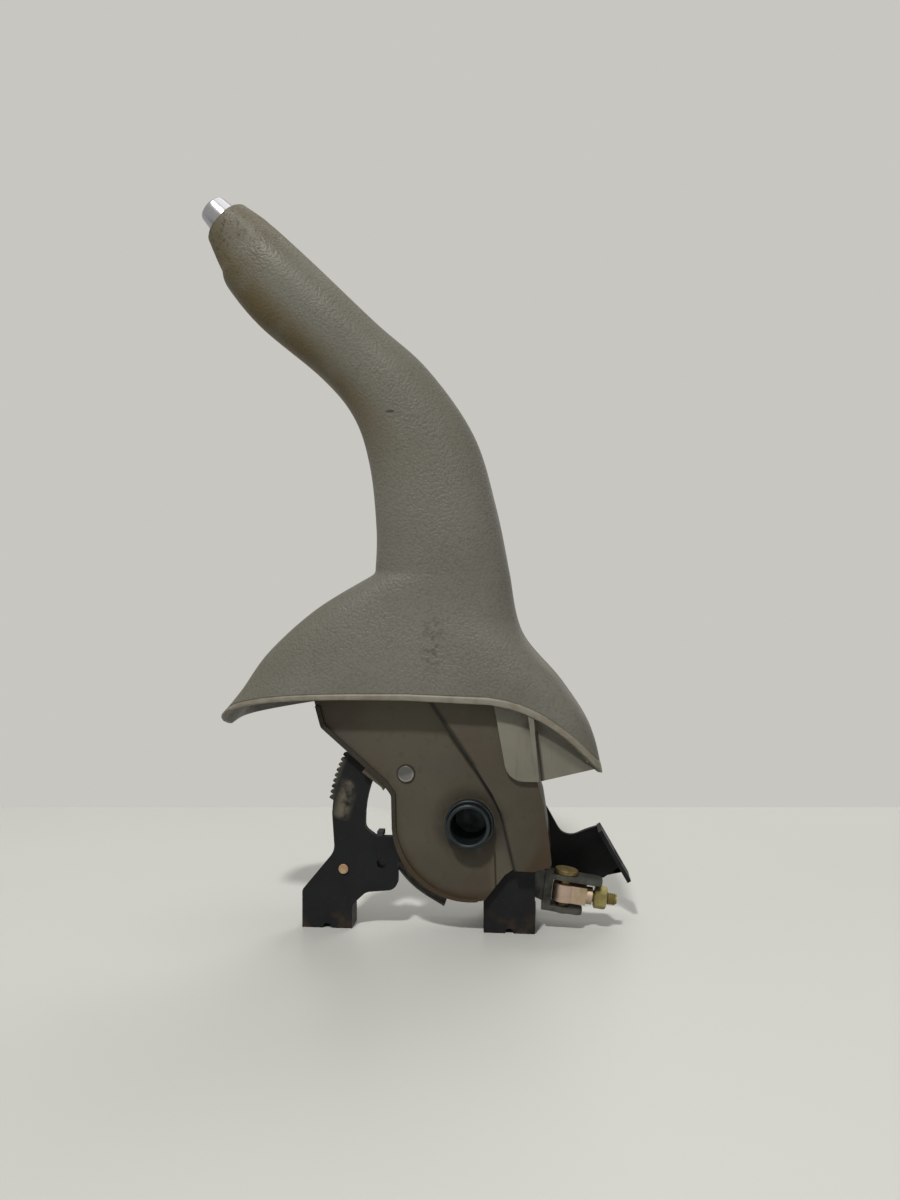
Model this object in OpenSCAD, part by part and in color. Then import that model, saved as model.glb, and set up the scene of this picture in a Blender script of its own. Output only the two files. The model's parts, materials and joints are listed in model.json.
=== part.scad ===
// Parking brake lever: toothed base, stamped lever, moulded grip cover and cable end.
// Millimetres, Z up, X towards the rear, Y away from the side that shows the pivot bore.
// The origin is the middle of the two foot bolts, on the floor.

/* [Base] */
// Distance between the two foot bolts
foot_spacing = 90; // [84:1:100]
// Width of each foot along the car
foot_width = 25; // [22:0.5:26]
// Depth of each foot across the car
foot_depth = 40; // [36:1:46]
// Thickness of the foot flanges
flange_t = 3; // [2:0.25:4]
// Thickness of the toothed plate
plate_t = 4; // [3:0.25:4.5]
// Radius of the foot bolt holes
bolt_r = 4.25; // [3:0.25:5.5]
// Pivot ahead of or behind the bolt centre
pivot_x = 26; // [23:0.5:29]
// Height of the pivot above the floor
pivot_z = 54; // [52:0.5:60]
// Tip radius of the toothed sector
sector_r = 70.5; // [68:0.5:73]
// Angle from tooth to tooth
tooth_pitch = 2.3; // [2:0.1:3]
// Depth of a sector tooth
tooth_depth = 2; // [1:0.1:2.6]

/* [Lever] */
// Half the outer width of the stamped channel
lever_half = 15; // [14:0.25:16]
// Sheet thickness of the channel
wall_t = 2; // [1.5:0.1:2.5]
// Height of the raised rear spine over the wall
emboss = 4; // [2:0.25:4.5]
// Outer radius of the hollow pivot rivet
pivot_r = 10.5; // [9.5:0.25:11]
// Radius of the blind bore of the pivot rivet
pivot_bore_r = 8.5; // [7:0.25:9]
// How far the rivet stands out of the near wall
pivot_out = 9; // [6:0.5:11]
// Radius of the lobe round the pivot
lobe_r = 38; // [36:0.5:39]
// Outer radius of the grip tube
tube_r = 10.5; // [9.75:0.25:11]
// Wall of the grip tube
tube_wall = 1.5; // [1:0.1:1.8]

/* [Release] */
// Radius of the button at its root
button_r = 8.6; // [7:0.1:8.7]
// Length of button outside the grip
button_out = 10.6; // [8:0.1:13]
// Stroke of the button
button_travel = 6; // [3:0.5:7]
// Radius of the release rod
rod_r = 2.5; // [2:0.1:3]
// Radius of the pawl pin
pawl_pin_r = 4; // [3:0.25:5]

/* [Cover] */
// Half width of the cover at the neck
cover_half = 21; // [20:0.25:24]
// Skin thickness of the skirt
shell_t = 2.5; // [1.5:0.1:3]
// How far the side rims arch above the front and rear tips
rim_arch = 25; // [20:0.5:28]

/* [Cable end] */
// Radius of the pin the yoke hangs on
cable_pin_r = 4; // [3:0.25:5]
// Radius of the upright swivel pin
swivel_r = 3; // [2:0.25:3.5]
// Thickness of the yoke plates
yoke_t = 2.5; // [1.5:0.25:3]
// Radius of the adjuster thread
thread_r = 3; // [2:0.25:3.5]
// Width of the nut across its flats
nut_flats = 10; // [9:0.5:11]

/* [Hidden] */
$fn = 48;
// Running clearance of a turning fit and of a pressed fit
run_gap = 0.05;
seat_gap = 0.02;
// Free space between the lever wall and the toothed plate
side_gap = 2;
// The lever's middle plane lies in front of the bolt row
bolt_y = 9;
foot_x = foot_spacing / 2;
plate_y0 = -(lever_half - wall_t - side_gap);
plate_y1 = plate_y0 + plate_t;
foot_y1 = plate_y0 + foot_depth;
wall_in = lever_half - wall_t;
spine_half = lever_half + emboss;
hub_r = pivot_r + 11;
bush_r = pivot_r + 2;
tube_in = tube_r - tube_wall;
// Grip axis and lower tube leg meet at the bend, seen from the pivot
bend = [-25.6, 195.6];
leg_angle = 99.3;
grip_angle = 133.6;
grip_len = 145;
leg_len = 79;
bend_r = 70;
// The cover laps over the end of the tube by this much
tube_short = 1.5;
// Depth of the sector band, from tooth tips to its inner edge
sector_band = 18.5;
sector_in = sector_r - sector_band;
// Pawl: pin outside the teeth, tooth where its swing is square to the arc
pawl_at = 118;
pawl_reach_r = sector_r + 9.5;
pawl_tip_r = sector_r + 0.4;
pawl_span = acos(pawl_tip_r / pawl_reach_r);
pawl_pin = polar(pawl_reach_r, pawl_at);
// Cable end: hanging pin and swivel axis seen from the pivot, tilt of the yoke
cable_pin_at = [14, -21];
swivel_at = [45.5, -36];
yoke_tilt = 8;
yoke_half = 6;
yoke_gap = 6.5;

steel = [0.45, 0.43, 0.40];
black_steel = [0.12, 0.13, 0.15];
grey_vinyl = [0.55, 0.54, 0.51];
chrome = [0.80, 0.81, 0.83];
zinc = [0.62, 0.66, 0.70];
gold_zinc = [0.76, 0.62, 0.34];
copper = [0.72, 0.45, 0.28];
nylon = [0.85, 0.84, 0.78];
rubber = [0.10, 0.10, 0.10];

function polar(r, a) = [r * cos(a), r * sin(a)];
function unit(v) = v / norm(v);
// Points of one rounded corner b between its neighbours a and c
function corner(a, b, c, r, n = 5) =
    let (u = unit(a - b), v = unit(c - b), half = acos(max(-1, min(1, u * v))) / 2,
        m = b + unit(u + v) * r / sin(half), p = b + u * r / tan(half) - m,
        q = b + v * r / tan(half) - m, s = atan2(p[1], p[0]),
        d = atan2(q[1], q[0]) - s, t = d > 180 ? d - 360 : d < -180 ? d + 360 : d)
    [for (i = [0 : n]) m + polar(r, s + t * i / n)];
// Closed outline from corners [x, z, radius]
function rounded(c) =
    [for (i = [0 : len(c) - 1])
        let (a = c[(i + len(c) - 1) % len(c)], b = c[i], e = c[(i + 1) % len(c)])
        each b[2] > 0 ? corner([a[0], a[1]], [b[0], b[1]], [e[0], e[1]], b[2]) : [[b[0], b[1]]]];
function arc(r, a0, a1, n) = [for (i = [0 : n]) polar(r, a0 + (a1 - a0) * i / n)];
// Smooth curve through the rows of a list
function blend4(a, b, c, d, t) =
    0.5 * (2 * b + (c - a) * t + (2 * a - 5 * b + 4 * c - d) * t * t
    + (3 * b - a - 3 * c + d) * t * t * t);
function along(rows, n) =
    [for (i = [0 : len(rows) - 2], k = [0 : n - 1])
        blend4(rows[max(i - 1, 0)], rows[i], rows[i + 1],
            rows[min(i + 2, len(rows) - 1)], k / n)];

// A drawing in the X-Z plane made thick between y0 and y1
module slab(y0, y1) {
    translate([0, y1, 0])
        rotate([90, 0, 0])
            linear_extrude(y1 - y0)
                children();
}

// A round bar across the lever at point p
module bar(p, r, y0, y1) {
    translate([p[0], y1, p[1]])
        rotate([90, 0, 0])
            cylinder(r = r, h = y1 - y0);
}

// Lever frame: origin on the pivot, in the lever's middle plane
module at_pivot() {
    translate([pivot_x, -bolt_y, pivot_z])
        children();
}

// Base frame: origin on the floor, in the lever's middle plane
module on_floor() {
    translate([0, -bolt_y, 0])
        children();
}

// Grip frame: origin at the grip end, Z pointing out of the grip
module at_grip_end() {
    at_pivot()
        translate([bend[0] + grip_len * cos(grip_angle), 0, bend[1] + grip_len * sin(grip_angle)])
            rotate([0, 90 - grip_angle, 0])
                children();
}

// Yoke frame: origin on the swivel axis, Z along the swivel pin, X towards the cable
module at_swivel() {
    at_pivot()
        translate([swivel_at[0], 0, swivel_at[1]])
            rotate([0, yoke_tilt, 0])
                children();
}

// Bent round bar that follows the tube: leg below the bend, bend, grip part above it.
// The bend is drawn in a little, as bent tube is, and runs into both straight parts.
bend_in = 0.15;
bend_over = 2.5;

module bent_bar(r, low, high) {
    turn = grip_angle - leg_angle;
    cut = bend_r * tan(turn / 2);
    low_end = bend - polar(cut, leg_angle);
    middle = low_end + polar(bend_r, leg_angle + 90);
    high_end = bend + polar(cut, grip_angle);
    rotate([90, 0, 0]) {
        translate([middle[0], middle[1], 0])
            rotate(leg_angle - 90 - bend_over)
                rotate_extrude(angle = turn + 2 * bend_over)
                    translate([bend_r, 0])
                        circle(r - bend_in);
        translate([low_end[0], low_end[1], 0])
            rotate([0, 90, leg_angle + 180])
                cylinder(r = r, h = low - cut);
        translate([high_end[0], high_end[1], 0])
            rotate([0, 90, grip_angle])
                cylinder(r = r, h = high - cut);
    }
}

// Toothed sector, from the pulled end to the released end
sector_from = 125;
sector_to = 173;
function teeth() =
    [for (a = [sector_from : tooth_pitch : sector_to])
        each [polar(sector_r, a), polar(sector_r, a + 0.3 * tooth_pitch),
            polar(sector_r - tooth_depth, a + 0.6 * tooth_pitch)]];

// Outline of the toothed plate with hub and both legs
module plate_drawing() {
    front_a = -foot_x - foot_width / 2;
    front_b = -foot_x + foot_width / 2;
    rear_a = foot_x - foot_width / 2;
    rear_b = foot_x + foot_width / 2;
    web_top = pivot_z - 8.4;
    translate([pivot_x, pivot_z])
        polygon(concat(
            teeth(),
            arc(sector_r - tooth_depth, 176.5, 178, 1),
            arc(sector_in, 180, sector_from, 12)));
    polygon(rounded([
        [pivot_x - sector_r + tooth_depth, pivot_z + 3, 0],
        [pivot_x - sector_r + 3.3, pivot_z - 16, 8],
        [front_a, 18.4, 3],
        [front_a, 0, 0],
        [front_b, 0, 0],
        [front_b, 11.5, 4],
        [front_b + 7, 18, 6],
        [-9.7, 19.6, 5],
        [-9.7, pivot_z - 21, 2],
        [pivot_x - 34, web_top, 0],
        [pivot_x - sector_in + 5.5, web_top, 2],
        [pivot_x - sector_in, web_top + 4, 4],
        [pivot_x - sector_in, pivot_z + 3, 0]]));
    polygon([
        [pivot_x - 36, web_top],
        [pivot_x, web_top],
        [pivot_x, pivot_z - 17],
        [-11, pivot_z - 21]]);
    translate([pivot_x, pivot_z])
        circle(hub_r);
    polygon(rounded([
        [rear_a, 0, 0],
        [rear_b, 0, 0],
        [rear_b, pivot_z - 25, 3],
        [pivot_x + 20, pivot_z - 5, 0],
        [pivot_x - 15, pivot_z - 12, 0],
        [rear_a, 19, 6]]));
}

// Turned-up edge of a foot, drawn across the car
edge_depth = 13;

module foot_edge(x, h, depth) {
    end = plate_y0 + depth;
    translate([x, 0, 0])
        rotate([90, 0, 90])
            linear_extrude(flange_t)
                polygon(rounded([[plate_y0, 0, 0], [end, 0, 0], [end, h, 4], [plate_y0, h, 0]]));
}

// Sole of the front foot: a tongue that narrows behind the bolt
module front_sole() {
    taper = 6.5;
    linear_extrude(flange_t)
        translate([-foot_x, 0])
            polygon(rounded([
                [-foot_width / 2, plate_y0, 0],
                [foot_width / 2, plate_y0, 0],
                [foot_width / 2, plate_y0 + edge_depth, 3],
                [foot_width / 2 - taper, foot_y1, 5],
                [taper - foot_width / 2, foot_y1, 5],
                [-foot_width / 2, plate_y0 + edge_depth, 3]]));
}

module base_plate() {
    color(black_steel)
        on_floor()
            difference() {
                union() {
                    slab(plate_y0, plate_y1)
                        plate_drawing();
                    front_sole();
                    translate([foot_x - foot_width / 2, plate_y0, 0])
                        cube([foot_width, foot_depth, flange_t]);
                    foot_edge(-foot_x + foot_width / 2 - flange_t, 11.5, edge_depth);
                    foot_edge(foot_x + foot_width / 2 - flange_t, flange_t + 2, foot_depth);
                }
                for (s = [-1, 1]) {
                    translate([s * foot_x, bolt_y, -1])
                        cylinder(r = bolt_r, h = flange_t + 2);
                    bar([s * foot_x, 0], 2.2, plate_y0 - 1, plate_y1);
                }
                bar([pivot_x, pivot_z], pivot_r + seat_gap, plate_y0 - 1, plate_y1 + 1);
                bar([pivot_x, pivot_z] + leaf_hold, 1.6 + seat_gap, plate_y0 - 1, plate_y1 + 1);
                bar([pivot_x - 43.7, pivot_z - 21.7], 2.4, plate_y0 - 1, plate_y1 + 1);
            }
}

// Upright on the rear foot, long arm and slanted end flange
arm_t = 3;
flange_top = [64.8, -7.9];
flange_dir = -60;
flange_len = 29;
flange_wide = 19;
end_flange_t = 2;
flange_hole = 16.75;

module rear_arm() {
    rear_b = foot_x + foot_width / 2;
    low = flange_t + seat_gap - pivot_z;
    color(black_steel)
        at_pivot() {
            slab(foot_y1 - arm_t, foot_y1)
                polygon(rounded([
                    [foot_x - foot_width / 2 + 3 - pivot_x, low, 0],
                    [rear_b - flange_t - 1 - pivot_x, low, 0],
                    [38, -37, 4],
                    [57, -35.1, 3],
                    [65.8, -36.4, 3],
                    [75.6, -29.7, 0],
                    [64, -9, 0],
                    [57.5, -11.2, 5],
                    [50.3, -14.4, 8],
                    [44.6, -13, 7],
                    [36.8, 0.9, 4],
                    [28, 4, 5],
                    [14, -6, 6],
                    [10, -26, 8]]));
            translate([flange_top[0], foot_y1 - flange_wide, flange_top[1]])
                rotate([0, -flange_dir, 0])
                    difference() {
                        translate([0, 0, -end_flange_t])
                            cube([flange_len, flange_wide, end_flange_t]);
                        translate([flange_hole, flange_wide / 2 - 2, -end_flange_t - 1])
                            cylinder(r = bolt_r, h = end_flange_t + 2);
                    }
        }
}

// Hollow rivet: round lip and blind bore on the near side, flat head on the far side
module pivot_rivet() {
    near = lever_half + pivot_out;
    far = lever_half + 0.4;
    color(black_steel)
        at_pivot()
            rotate([90, 0, 0])
                rotate_extrude()
                    polygon(concat(
                        [[0, -far - 3], [pivot_r + 3.5, -far - 3], [pivot_r + 3.5, -far], [pivot_r, -far]],
                        [for (i = [0 : 4]) [pivot_r - 1, near - 1] + polar(1, 22.5 * i)],
                        [[pivot_bore_r + 0.6, near], [pivot_bore_r, near - 0.6],
                            [pivot_bore_r, -2], [0, -2]]));
}

module pivot_washer() {
    color(black_steel)
        at_pivot()
            difference() {
                bar([0, 0], pivot_r + 1.4, -lever_half - 5, -lever_half - 0.4);
                bar([0, 0], pivot_r + seat_gap, -lever_half - 6, -lever_half);
            }
}

module pivot_spacer() {
    color(steel)
        at_pivot()
            difference() {
                bar([0, 0], pivot_r + 3, plate_y1 + seat_gap, wall_in - 1.9);
                bar([0, 0], pivot_r + seat_gap, plate_y1 - 1, wall_in);
            }
}

// Spring leaf: flat tab on the back of the front leg, strip running under the lobe
leaf_t = 0.9;
leaf_hold = [-62.7, -24.7];
leaf_r = lobe_r + 5;

module spring_leaf() {
    y0 = plate_y1 + seat_gap;
    tip = polar(leaf_r, 240);
    run = polar(10, 330);
    color(black_steel)
        at_pivot() {
            slab(y0, y0 + leaf_t)
                difference() {
                    polygon(rounded([
                        [leaf_hold[0] - 5, leaf_hold[1] - 5, 3],
                        [-leaf_r * 0.91, -leaf_r * 0.6, 2],
                        [-leaf_r * 0.86, -leaf_r * 0.51, 0],
                        [-leaf_r * 0.92, -leaf_r * 0.4, 1],
                        [leaf_hold[0] - 5, leaf_hold[1] + 5, 3]]));
                    translate(leaf_hold)
                        circle(1.6 + seat_gap);
                }
            slab(y0, y0 + 11)
                polygon(concat(
                    arc(leaf_r, 205, 240, 10),
                    [tip + run, tip + run + polar(leaf_t, 240)],
                    arc(leaf_r + leaf_t, 240, 205, 10)));
        }
}

module leaf_rivet() {
    back = plate_y1 + seat_gap + leaf_t + seat_gap;
    color(copper)
        at_pivot() {
            bar(leaf_hold, 1.6, plate_y0 - seat_gap, back);
            bar(leaf_hold, 2.45, plate_y0 - 1, plate_y0 - seat_gap);
            bar(leaf_hold, 2.45, back, back + 1);
        }
}

module stop_block() {
    color(rubber)
        at_pivot()
            translate([6 - sector_in, plate_y0, -8.4 + seat_gap])
                cube([3, plate_t + 3, 2.4]);
}

// Side wall of the lever: shoulder, lobe, spine foot and the part inside the cover
module wall_drawing() {
    k = lobe_r;
    polygon(concat(
        rounded([
            [17.1, -24.7, 0],
            [21.5, -21.6, 3],
            [30.6, -21.9, 0],
            [39.7, -19.3, 2],
            [38.3, -6.8, 0],
            [35.4, 11.9, 8],
            [33, 19.5, 8],
            [31.5, 45, 0],
            [28, 62, 10],
            [20, 80, 10],
            [10, 95, 8],
            [1, 112, 8],
            [-1, 146, 2],
            [-31, 146, 2],
            [-32, 108, 8],
            [-52, 86, 8],
            [-72, 72, 5],
            [-77, 60, 5],
            [-73.1, 45.6, 4],
            [-42.9, 19.2, 5],
            [-k - 0.2, 13, 4],
            [k * cos(185), k * sin(185), 0]]),
        arc(k, 189, 281, 23)));
}

// Line where the wall steps out to the raised spine
step_line = [[-21, 62], [-18.5, 57.7], [-8.8, 43.3], [2.3, 28],
    [11, 15.2], [15.3, 5.2], [18.7, -10.1], [22, -23]];
function shifted(list, d) = [for (p = list) p + d];
function turned(list) = [for (i = [len(list) - 1 : -1 : 0]) list[i]];

module raised_drawing(d) {
    intersection() {
        wall_drawing();
        polygon(concat(shifted(step_line, [d, 0]), [[60, -23], [60, 62]]));
    }
}

// Rear edge band between two heights, one sheet thick
spine_line = [[37.7, -4], [35.2, 11.9], [32.8, 19.5], [31.3, 45], [28, 60],
    [19.6, 79.5], [9.6, 94.6], [0.8, 111], [-1.2, 145]];

module spine_drawing(z0, z1) {
    intersection() {
        wall_drawing();
        polygon(concat(shifted(spine_line, [0.6, 0]), turned(shifted(spine_line, [-wall_t - 0.4, 0]))));
        translate([-60, z0])
            square([160, z1 - z0]);
    }
}

// One side of the channel, seen from the near side
module lever_side() {
    lip = 1.6;
    slab(-lever_half, -wall_in)
        difference() {
            wall_drawing();
            raised_drawing(1);
        }
    slab(-spine_half, -spine_half + wall_t)
        raised_drawing(0);
    slab(-spine_half, -wall_in)
        intersection() {
            wall_drawing();
            polygon(concat(step_line, turned(shifted(step_line, [wall_t + 0.3, 0]))));
        }
    slab(-spine_half, -wall_in)
        intersection() {
            raised_drawing(0);
            translate([-60, 62 - wall_t])
                square([120, wall_t]);
        }
    slab(-lever_half - lip, -lever_half + 0.5)
        intersection() {
            difference() {
                wall_drawing();
                translate([2, 1.3])
                    wall_drawing();
            }
            translate([-90, -60])
                square([94, 116]);
        }
}

// Plate across the channel that holds the tube, at a distance below the bend
module tube_collar(down) {
    p = bend - polar(down, leg_angle);
    translate([p[0], 0, p[1]])
        rotate([0, 90 - leg_angle, 0])
            translate([-12, -wall_in - 0.5, -1.5])
                cube([25, 2 * wall_in + 1, 3]);
}

spacer_at = [-31, 23.4];

module lever_body() {
    color(steel)
        at_pivot()
            difference() {
                union() {
                    lever_side();
                    mirror([0, 1, 0])
                        lever_side();
                    slab(-spine_half, spine_half)
                        spine_drawing(-4, 62);
                    slab(-lever_half, lever_half)
                        spine_drawing(61, 146);
                    tube_collar(leg_len - 23);
                    tube_collar(leg_len - 5);
                }
                bent_bar(tube_r + seat_gap, leg_len + 2, bend_r);
                bar([0, 0], bush_r + seat_gap, -40, 40);
                bar(spacer_at, 3 + seat_gap, -40, 40);
                bar(pawl_pin, pawl_pin_r + seat_gap, -40, 40);
                bar(cable_pin_at, cable_pin_r + seat_gap, 0, 40);
            }
}

// Flanged bush pressed into a wall, flange on the inside
module flanged_bush() {
    difference() {
        union() {
            bar([0, 0], bush_r, -lever_half, -wall_in + 0.5);
            bar([0, 0], bush_r + 2, -wall_in + seat_gap, -wall_in + 1.5);
        }
        bar([0, 0], pivot_r + run_gap, -lever_half - 1, 0);
    }
}

module bush_near() {
    color(nylon)
        at_pivot()
            flanged_bush();
}

module bush_far() {
    color(nylon)
        at_pivot()
            mirror([0, 1, 0])
                flanged_bush();
}

// Rivet through both walls with a thicker middle that keeps them apart
module wall_rivet(p, r, head_r, head_t) {
    y = lever_half + seat_gap;
    bar(p, r, -y, y);
    bar(p, head_r, -wall_in + seat_gap, wall_in - seat_gap);
    for (s = [-1, 1])
        bar(p, head_r, s * (y + head_t / 2) - head_t / 2, s * (y + head_t / 2) + head_t / 2);
}

module spacer_rivet() {
    color(zinc)
        at_pivot()
            wall_rivet(spacer_at, 3, 4, 1.2);
}

module pawl_pin_rivet() {
    y = lever_half + seat_gap;
    color(zinc)
        at_pivot() {
            bar(pawl_pin, pawl_pin_r, -y, y);
            bar(pawl_pin, pawl_pin_r + 2, plate_y1 + 1, wall_in - seat_gap);
            for (s = [-1, 1])
                bar(pawl_pin, pawl_pin_r + 1, s * (y + 0.75) - 0.75, s * (y + 0.75) + 0.75);
        }
}

module grip_tube() {
    color(steel)
        at_pivot()
            difference() {
                bent_bar(tube_r, leg_len, grip_len - tube_short);
                bent_bar(tube_in, leg_len + 1, grip_len + 1);
            }
}

// Nylon guide pressed into the tube, the rod runs through it
guide_depth = 45;
guide_len = 6;

module rod_guide() {
    color(nylon)
        at_grip_end()
            translate([0, 0, -guide_depth - guide_len])
                difference() {
                    cylinder(r = tube_in - seat_gap, h = guide_len);
                    translate([0, 0, -1])
                        cylinder(r = rod_r + run_gap, h = guide_len + 2);
                }
}

// Stub pin in the far wall for the yoke, with a collar beside the yoke
pin_y0 = plate_y1 + 0.4;
ear_y0 = pin_y0 + 1.6;
ear_y1 = 5;

module cable_pin() {
    color(zinc)
        at_pivot()
            difference() {
                union() {
                    bar(cable_pin_at, cable_pin_r, pin_y0, lever_half + seat_gap);
                    bar(cable_pin_at, cable_pin_r + 2.5, ear_y1 + 0.35, wall_in - seat_gap);
                    bar(cable_pin_at, cable_pin_r + 1.5, lever_half + seat_gap, lever_half + 1.8);
                }
                difference() {
                    bar(cable_pin_at, cable_pin_r + 1, pin_y0 + 0.3, pin_y0 + 1.2);
                    bar(cable_pin_at, cable_pin_r - 0.6, pin_y0 + 0.2, pin_y0 + 1.3);
                }
            }
}

// Open clip in the groove of the stub pin
module pin_clip() {
    color(black_steel)
        at_pivot()
            difference() {
                bar(cable_pin_at, cable_pin_r + 2, pin_y0 + 0.35, pin_y0 + 1.15);
                bar(cable_pin_at, cable_pin_r - 0.6 + seat_gap, pin_y0, pin_y0 + 2);
                translate([cable_pin_at[0] - cable_pin_r + 1, pin_y0 - 1, cable_pin_at[1] - cable_pin_r - 3])
                    cube([2 * cable_pin_r - 2, 4, cable_pin_r + 3]);
            }
}

// Cover stations. A row holds the front edge x, z and the rear edge x, z, seen from the pivot,
// half the width as a share of the neck, the squareness of the section and its share of the rim arch.
// On the grip a station lies at a share of its length, front and rear of the tube's axis.
function grip_row(share, front, rear, half) =
    let (p = bend + polar(share * grip_len, grip_angle), f = p + polar(front, grip_angle + 90),
        r = p + polar(rear, grip_angle - 90))
    [f[0], f[1], r[0], r[1], half, 2.4, 0];
grip_rows = [
    grip_row(1, 12.3, 12.3, 0.6),
    grip_row(0.915, 16.9, 14.8, 0.71),
    grip_row(0.872, 19, 15.5, 0.78),
    grip_row(0.815, 22.5, 16.2, 0.84),
    grip_row(0.64, 24, 17.6, 0.88),
    grip_row(0.36, 19.6, 19.2, 0.86),
    [-59.1, 199.3, -22, 223.2, 0.88, 2.3, 0],
    [-50.9, 174.5, 1, 190, 0.93, 2.6, 0],
    [-47.4, 142.7, 12.1, 154.3, 1, 2.8, 0],
    [-47.9, 121.1, 19, 120.4, 1.02, 3, 0]];
skirt_rows = [
    [-47.9, 121.1, 19, 120.4, 1.02, 3, 0],
    [-77.2, 102.8, 25.2, 92, 1.1, 3.3, 0.22],
    [-101.3, 80, 44.7, 67.9, 1.2, 3.6, 0.5],
    [-115.4, 58.8, 58.4, 46.3, 1.28, 3.8, 0.8],
    [-125.3, 45.2, 63.8, 25.2, 1.33, 4, 1]];
cover_steps = 3;
cover_sides = 40;
grip_list = along(grip_rows, cover_steps);
cover_list = concat(grip_list, along(skirt_rows, cover_steps), [skirt_rows[4]]);
cavity_from = (len(grip_rows) - 3) * cover_steps + 2;
end_round = 2.2;

function power(v, n) = sign(v) * pow(abs(v), 2 / n);
// The rear half of a section is squarer than the front half
function rear_power(row) = row[5] * (1 + 0.75 * row[6]);
// The sides of the rim rise from both tips; the far side stays lower at the front
function rim_lift(row, c, s) =
    rim_arch * row[6] * (c > 0 ? (1 - pow(max(0, 1 - (1 - c) / 0.6), 2)) * (1 + 0.25 * c)
    : pow(abs(s), 1.5) * (1 + 0.4 * c) * (1 - (s > 0 ? 0.6 * pow(-c, 1.5) : 0)));
// One closed section of the cover, set in from the skin and moved by d
function section(row, inset, d = [0, 0]) =
    let (f = [row[0], row[1]], r = [row[2], row[3]], m = (f + r) / 2 + d, u = unit(r - f),
        a = norm(r - f) / 2 - inset, b = cover_half * row[4] - inset)
    [for (i = [0 : cover_sides - 1])
        let (t = 360 * i / cover_sides, n = cos(t) > 0 ? rear_power(row) : row[5],
            c = power(cos(t), n), s = power(sin(t), n))
        [m[0] + a * c * u[0], b * s, m[1] + a * c * u[1] + rim_lift(row, c, s)]];
// Rearmost point of a section at a distance y from the middle plane
function rear_edge(row, inset, y) =
    let (f = [row[0], row[1]], r = [row[2], row[3]], m = (f + r) / 2, u = unit(r - f),
        a = norm(r - f) / 2 - inset, n = rear_power(row), s = min(0.999, y / (cover_half * row[4] - inset)),
        c = pow(1 - pow(s, n), 1 / n))
    m + a * c * u + [0, rim_lift(row, c, s)];

function middle(loop) = [for (k = [0 : 2]) [for (p = loop) p[k]] * [for (p = loop) 1] / len(loop)];

// Closed skin over a row of sections
module skin(loops) {
    n = cover_sides;
    m = len(loops);
    points = concat([for (q = loops) each q], [middle(loops[0]), middle(loops[m - 1])]);
    sides = [for (k = [0 : m - 2], i = [0 : n - 1])
        let (a = k * n + i, b = k * n + (i + 1) % n)
        each [[a, a + n, b], [b, a + n, b + n]]];
    first = [for (i = [0 : n - 1]) [i, (i + 1) % n, n * m]];
    last = [for (i = [0 : n - 1]) [n * (m - 1) + (i + 1) % n, n * (m - 1) + i, n * m + 1]];
    polyhedron(points = points, faces = concat(sides, first, last));
}

function cavity_loops(inset) =
    [for (k = [cavity_from : len(cover_list) - 1]) section(cover_list[k], inset)];

function grip_end_loops() =
    [for (i = [0 : 3])
        section(cover_list[0], end_round * (1 - sin(30 * i)),
            -polar(end_round * (1 - cos(30 * i)), grip_angle))];

// Moulded cover: solid round the tube, hollow neck and skirt
module grip_cover() {
    outer = concat(grip_end_loops(), [for (k = [1 : len(cover_list) - 1]) section(cover_list[k], 0)]);
    color(grey_vinyl)
        at_pivot()
            difference() {
                skin(concat(outer, turned(cavity_loops(shell_t))));
                bent_bar(tube_r + run_gap, leg_len, grip_len - tube_short + run_gap);
                bent_bar(button_r + 0.6, bend_r, grip_len + 10);
            }
}

// Saddle that seats the skirt on the spine: a tongue, a slanted rib and a web on both sides,
// and a plate behind the spine that joins them
module cover_saddle() {
    y0 = spine_half + seat_gap;
    y1 = y0 + 2.4;
    last = len(cover_list) - 1;
    web_end = rear_edge(cover_list[last], shell_t + 0.3, y1);
    under_rim = [4, -3.2];
    color(grey_vinyl)
        at_pivot() {
            for (s = [0, 1])
                mirror([0, s, 0])
                    slab(-y1, -y0)
                        polygon(concat(
                            rounded([[33, 59, 0], [11.9, 59, 0], [18.7, 21.6, 9], [33, 21.6, 0]]),
                            [web_end + under_rim],
                            [for (k = [last : -1 : last - 4]) rear_edge(cover_list[k], shell_t + 0.3, y1)]));
            for (s = [0, 1])
                mirror([0, s, 0])
                    slab(-y1 - 1.1, -y0)
                        polygon([[28.8, 57], [31.5, 57], [35.4, 22.2], [32.7, 21.6]]);
            slab(-y1, y1)
                polygon([[33.2, 21.8], [36, 22.3], [36, 56], [33.2, 56]]);
        }
}

// Push button: tapered, round edge, hollow skirt inside the tube
button_in = 12;

module button() {
    tip_r = button_r * 0.8;
    color(chrome)
        at_grip_end()
            difference() {
                rotate_extrude()
                    polygon(concat(
                        [[0, -button_in], [button_r, -button_in], [button_r, 0]],
                        [for (i = [0 : 6]) [tip_r - 2, button_out - 2] + polar(2, 8 + i * 82 / 6)],
                        [[0, button_out]]));
                translate([0, 0, -button_in - 1])
                    cylinder(r = rod_r + seat_gap, h = 9);
            }
}

rod_drop = 119.5;

module release_rod() {
    color(zinc)
        at_pivot()
            bent_bar(rod_r, rod_drop, grip_len - button_in + 7);
}

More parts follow.
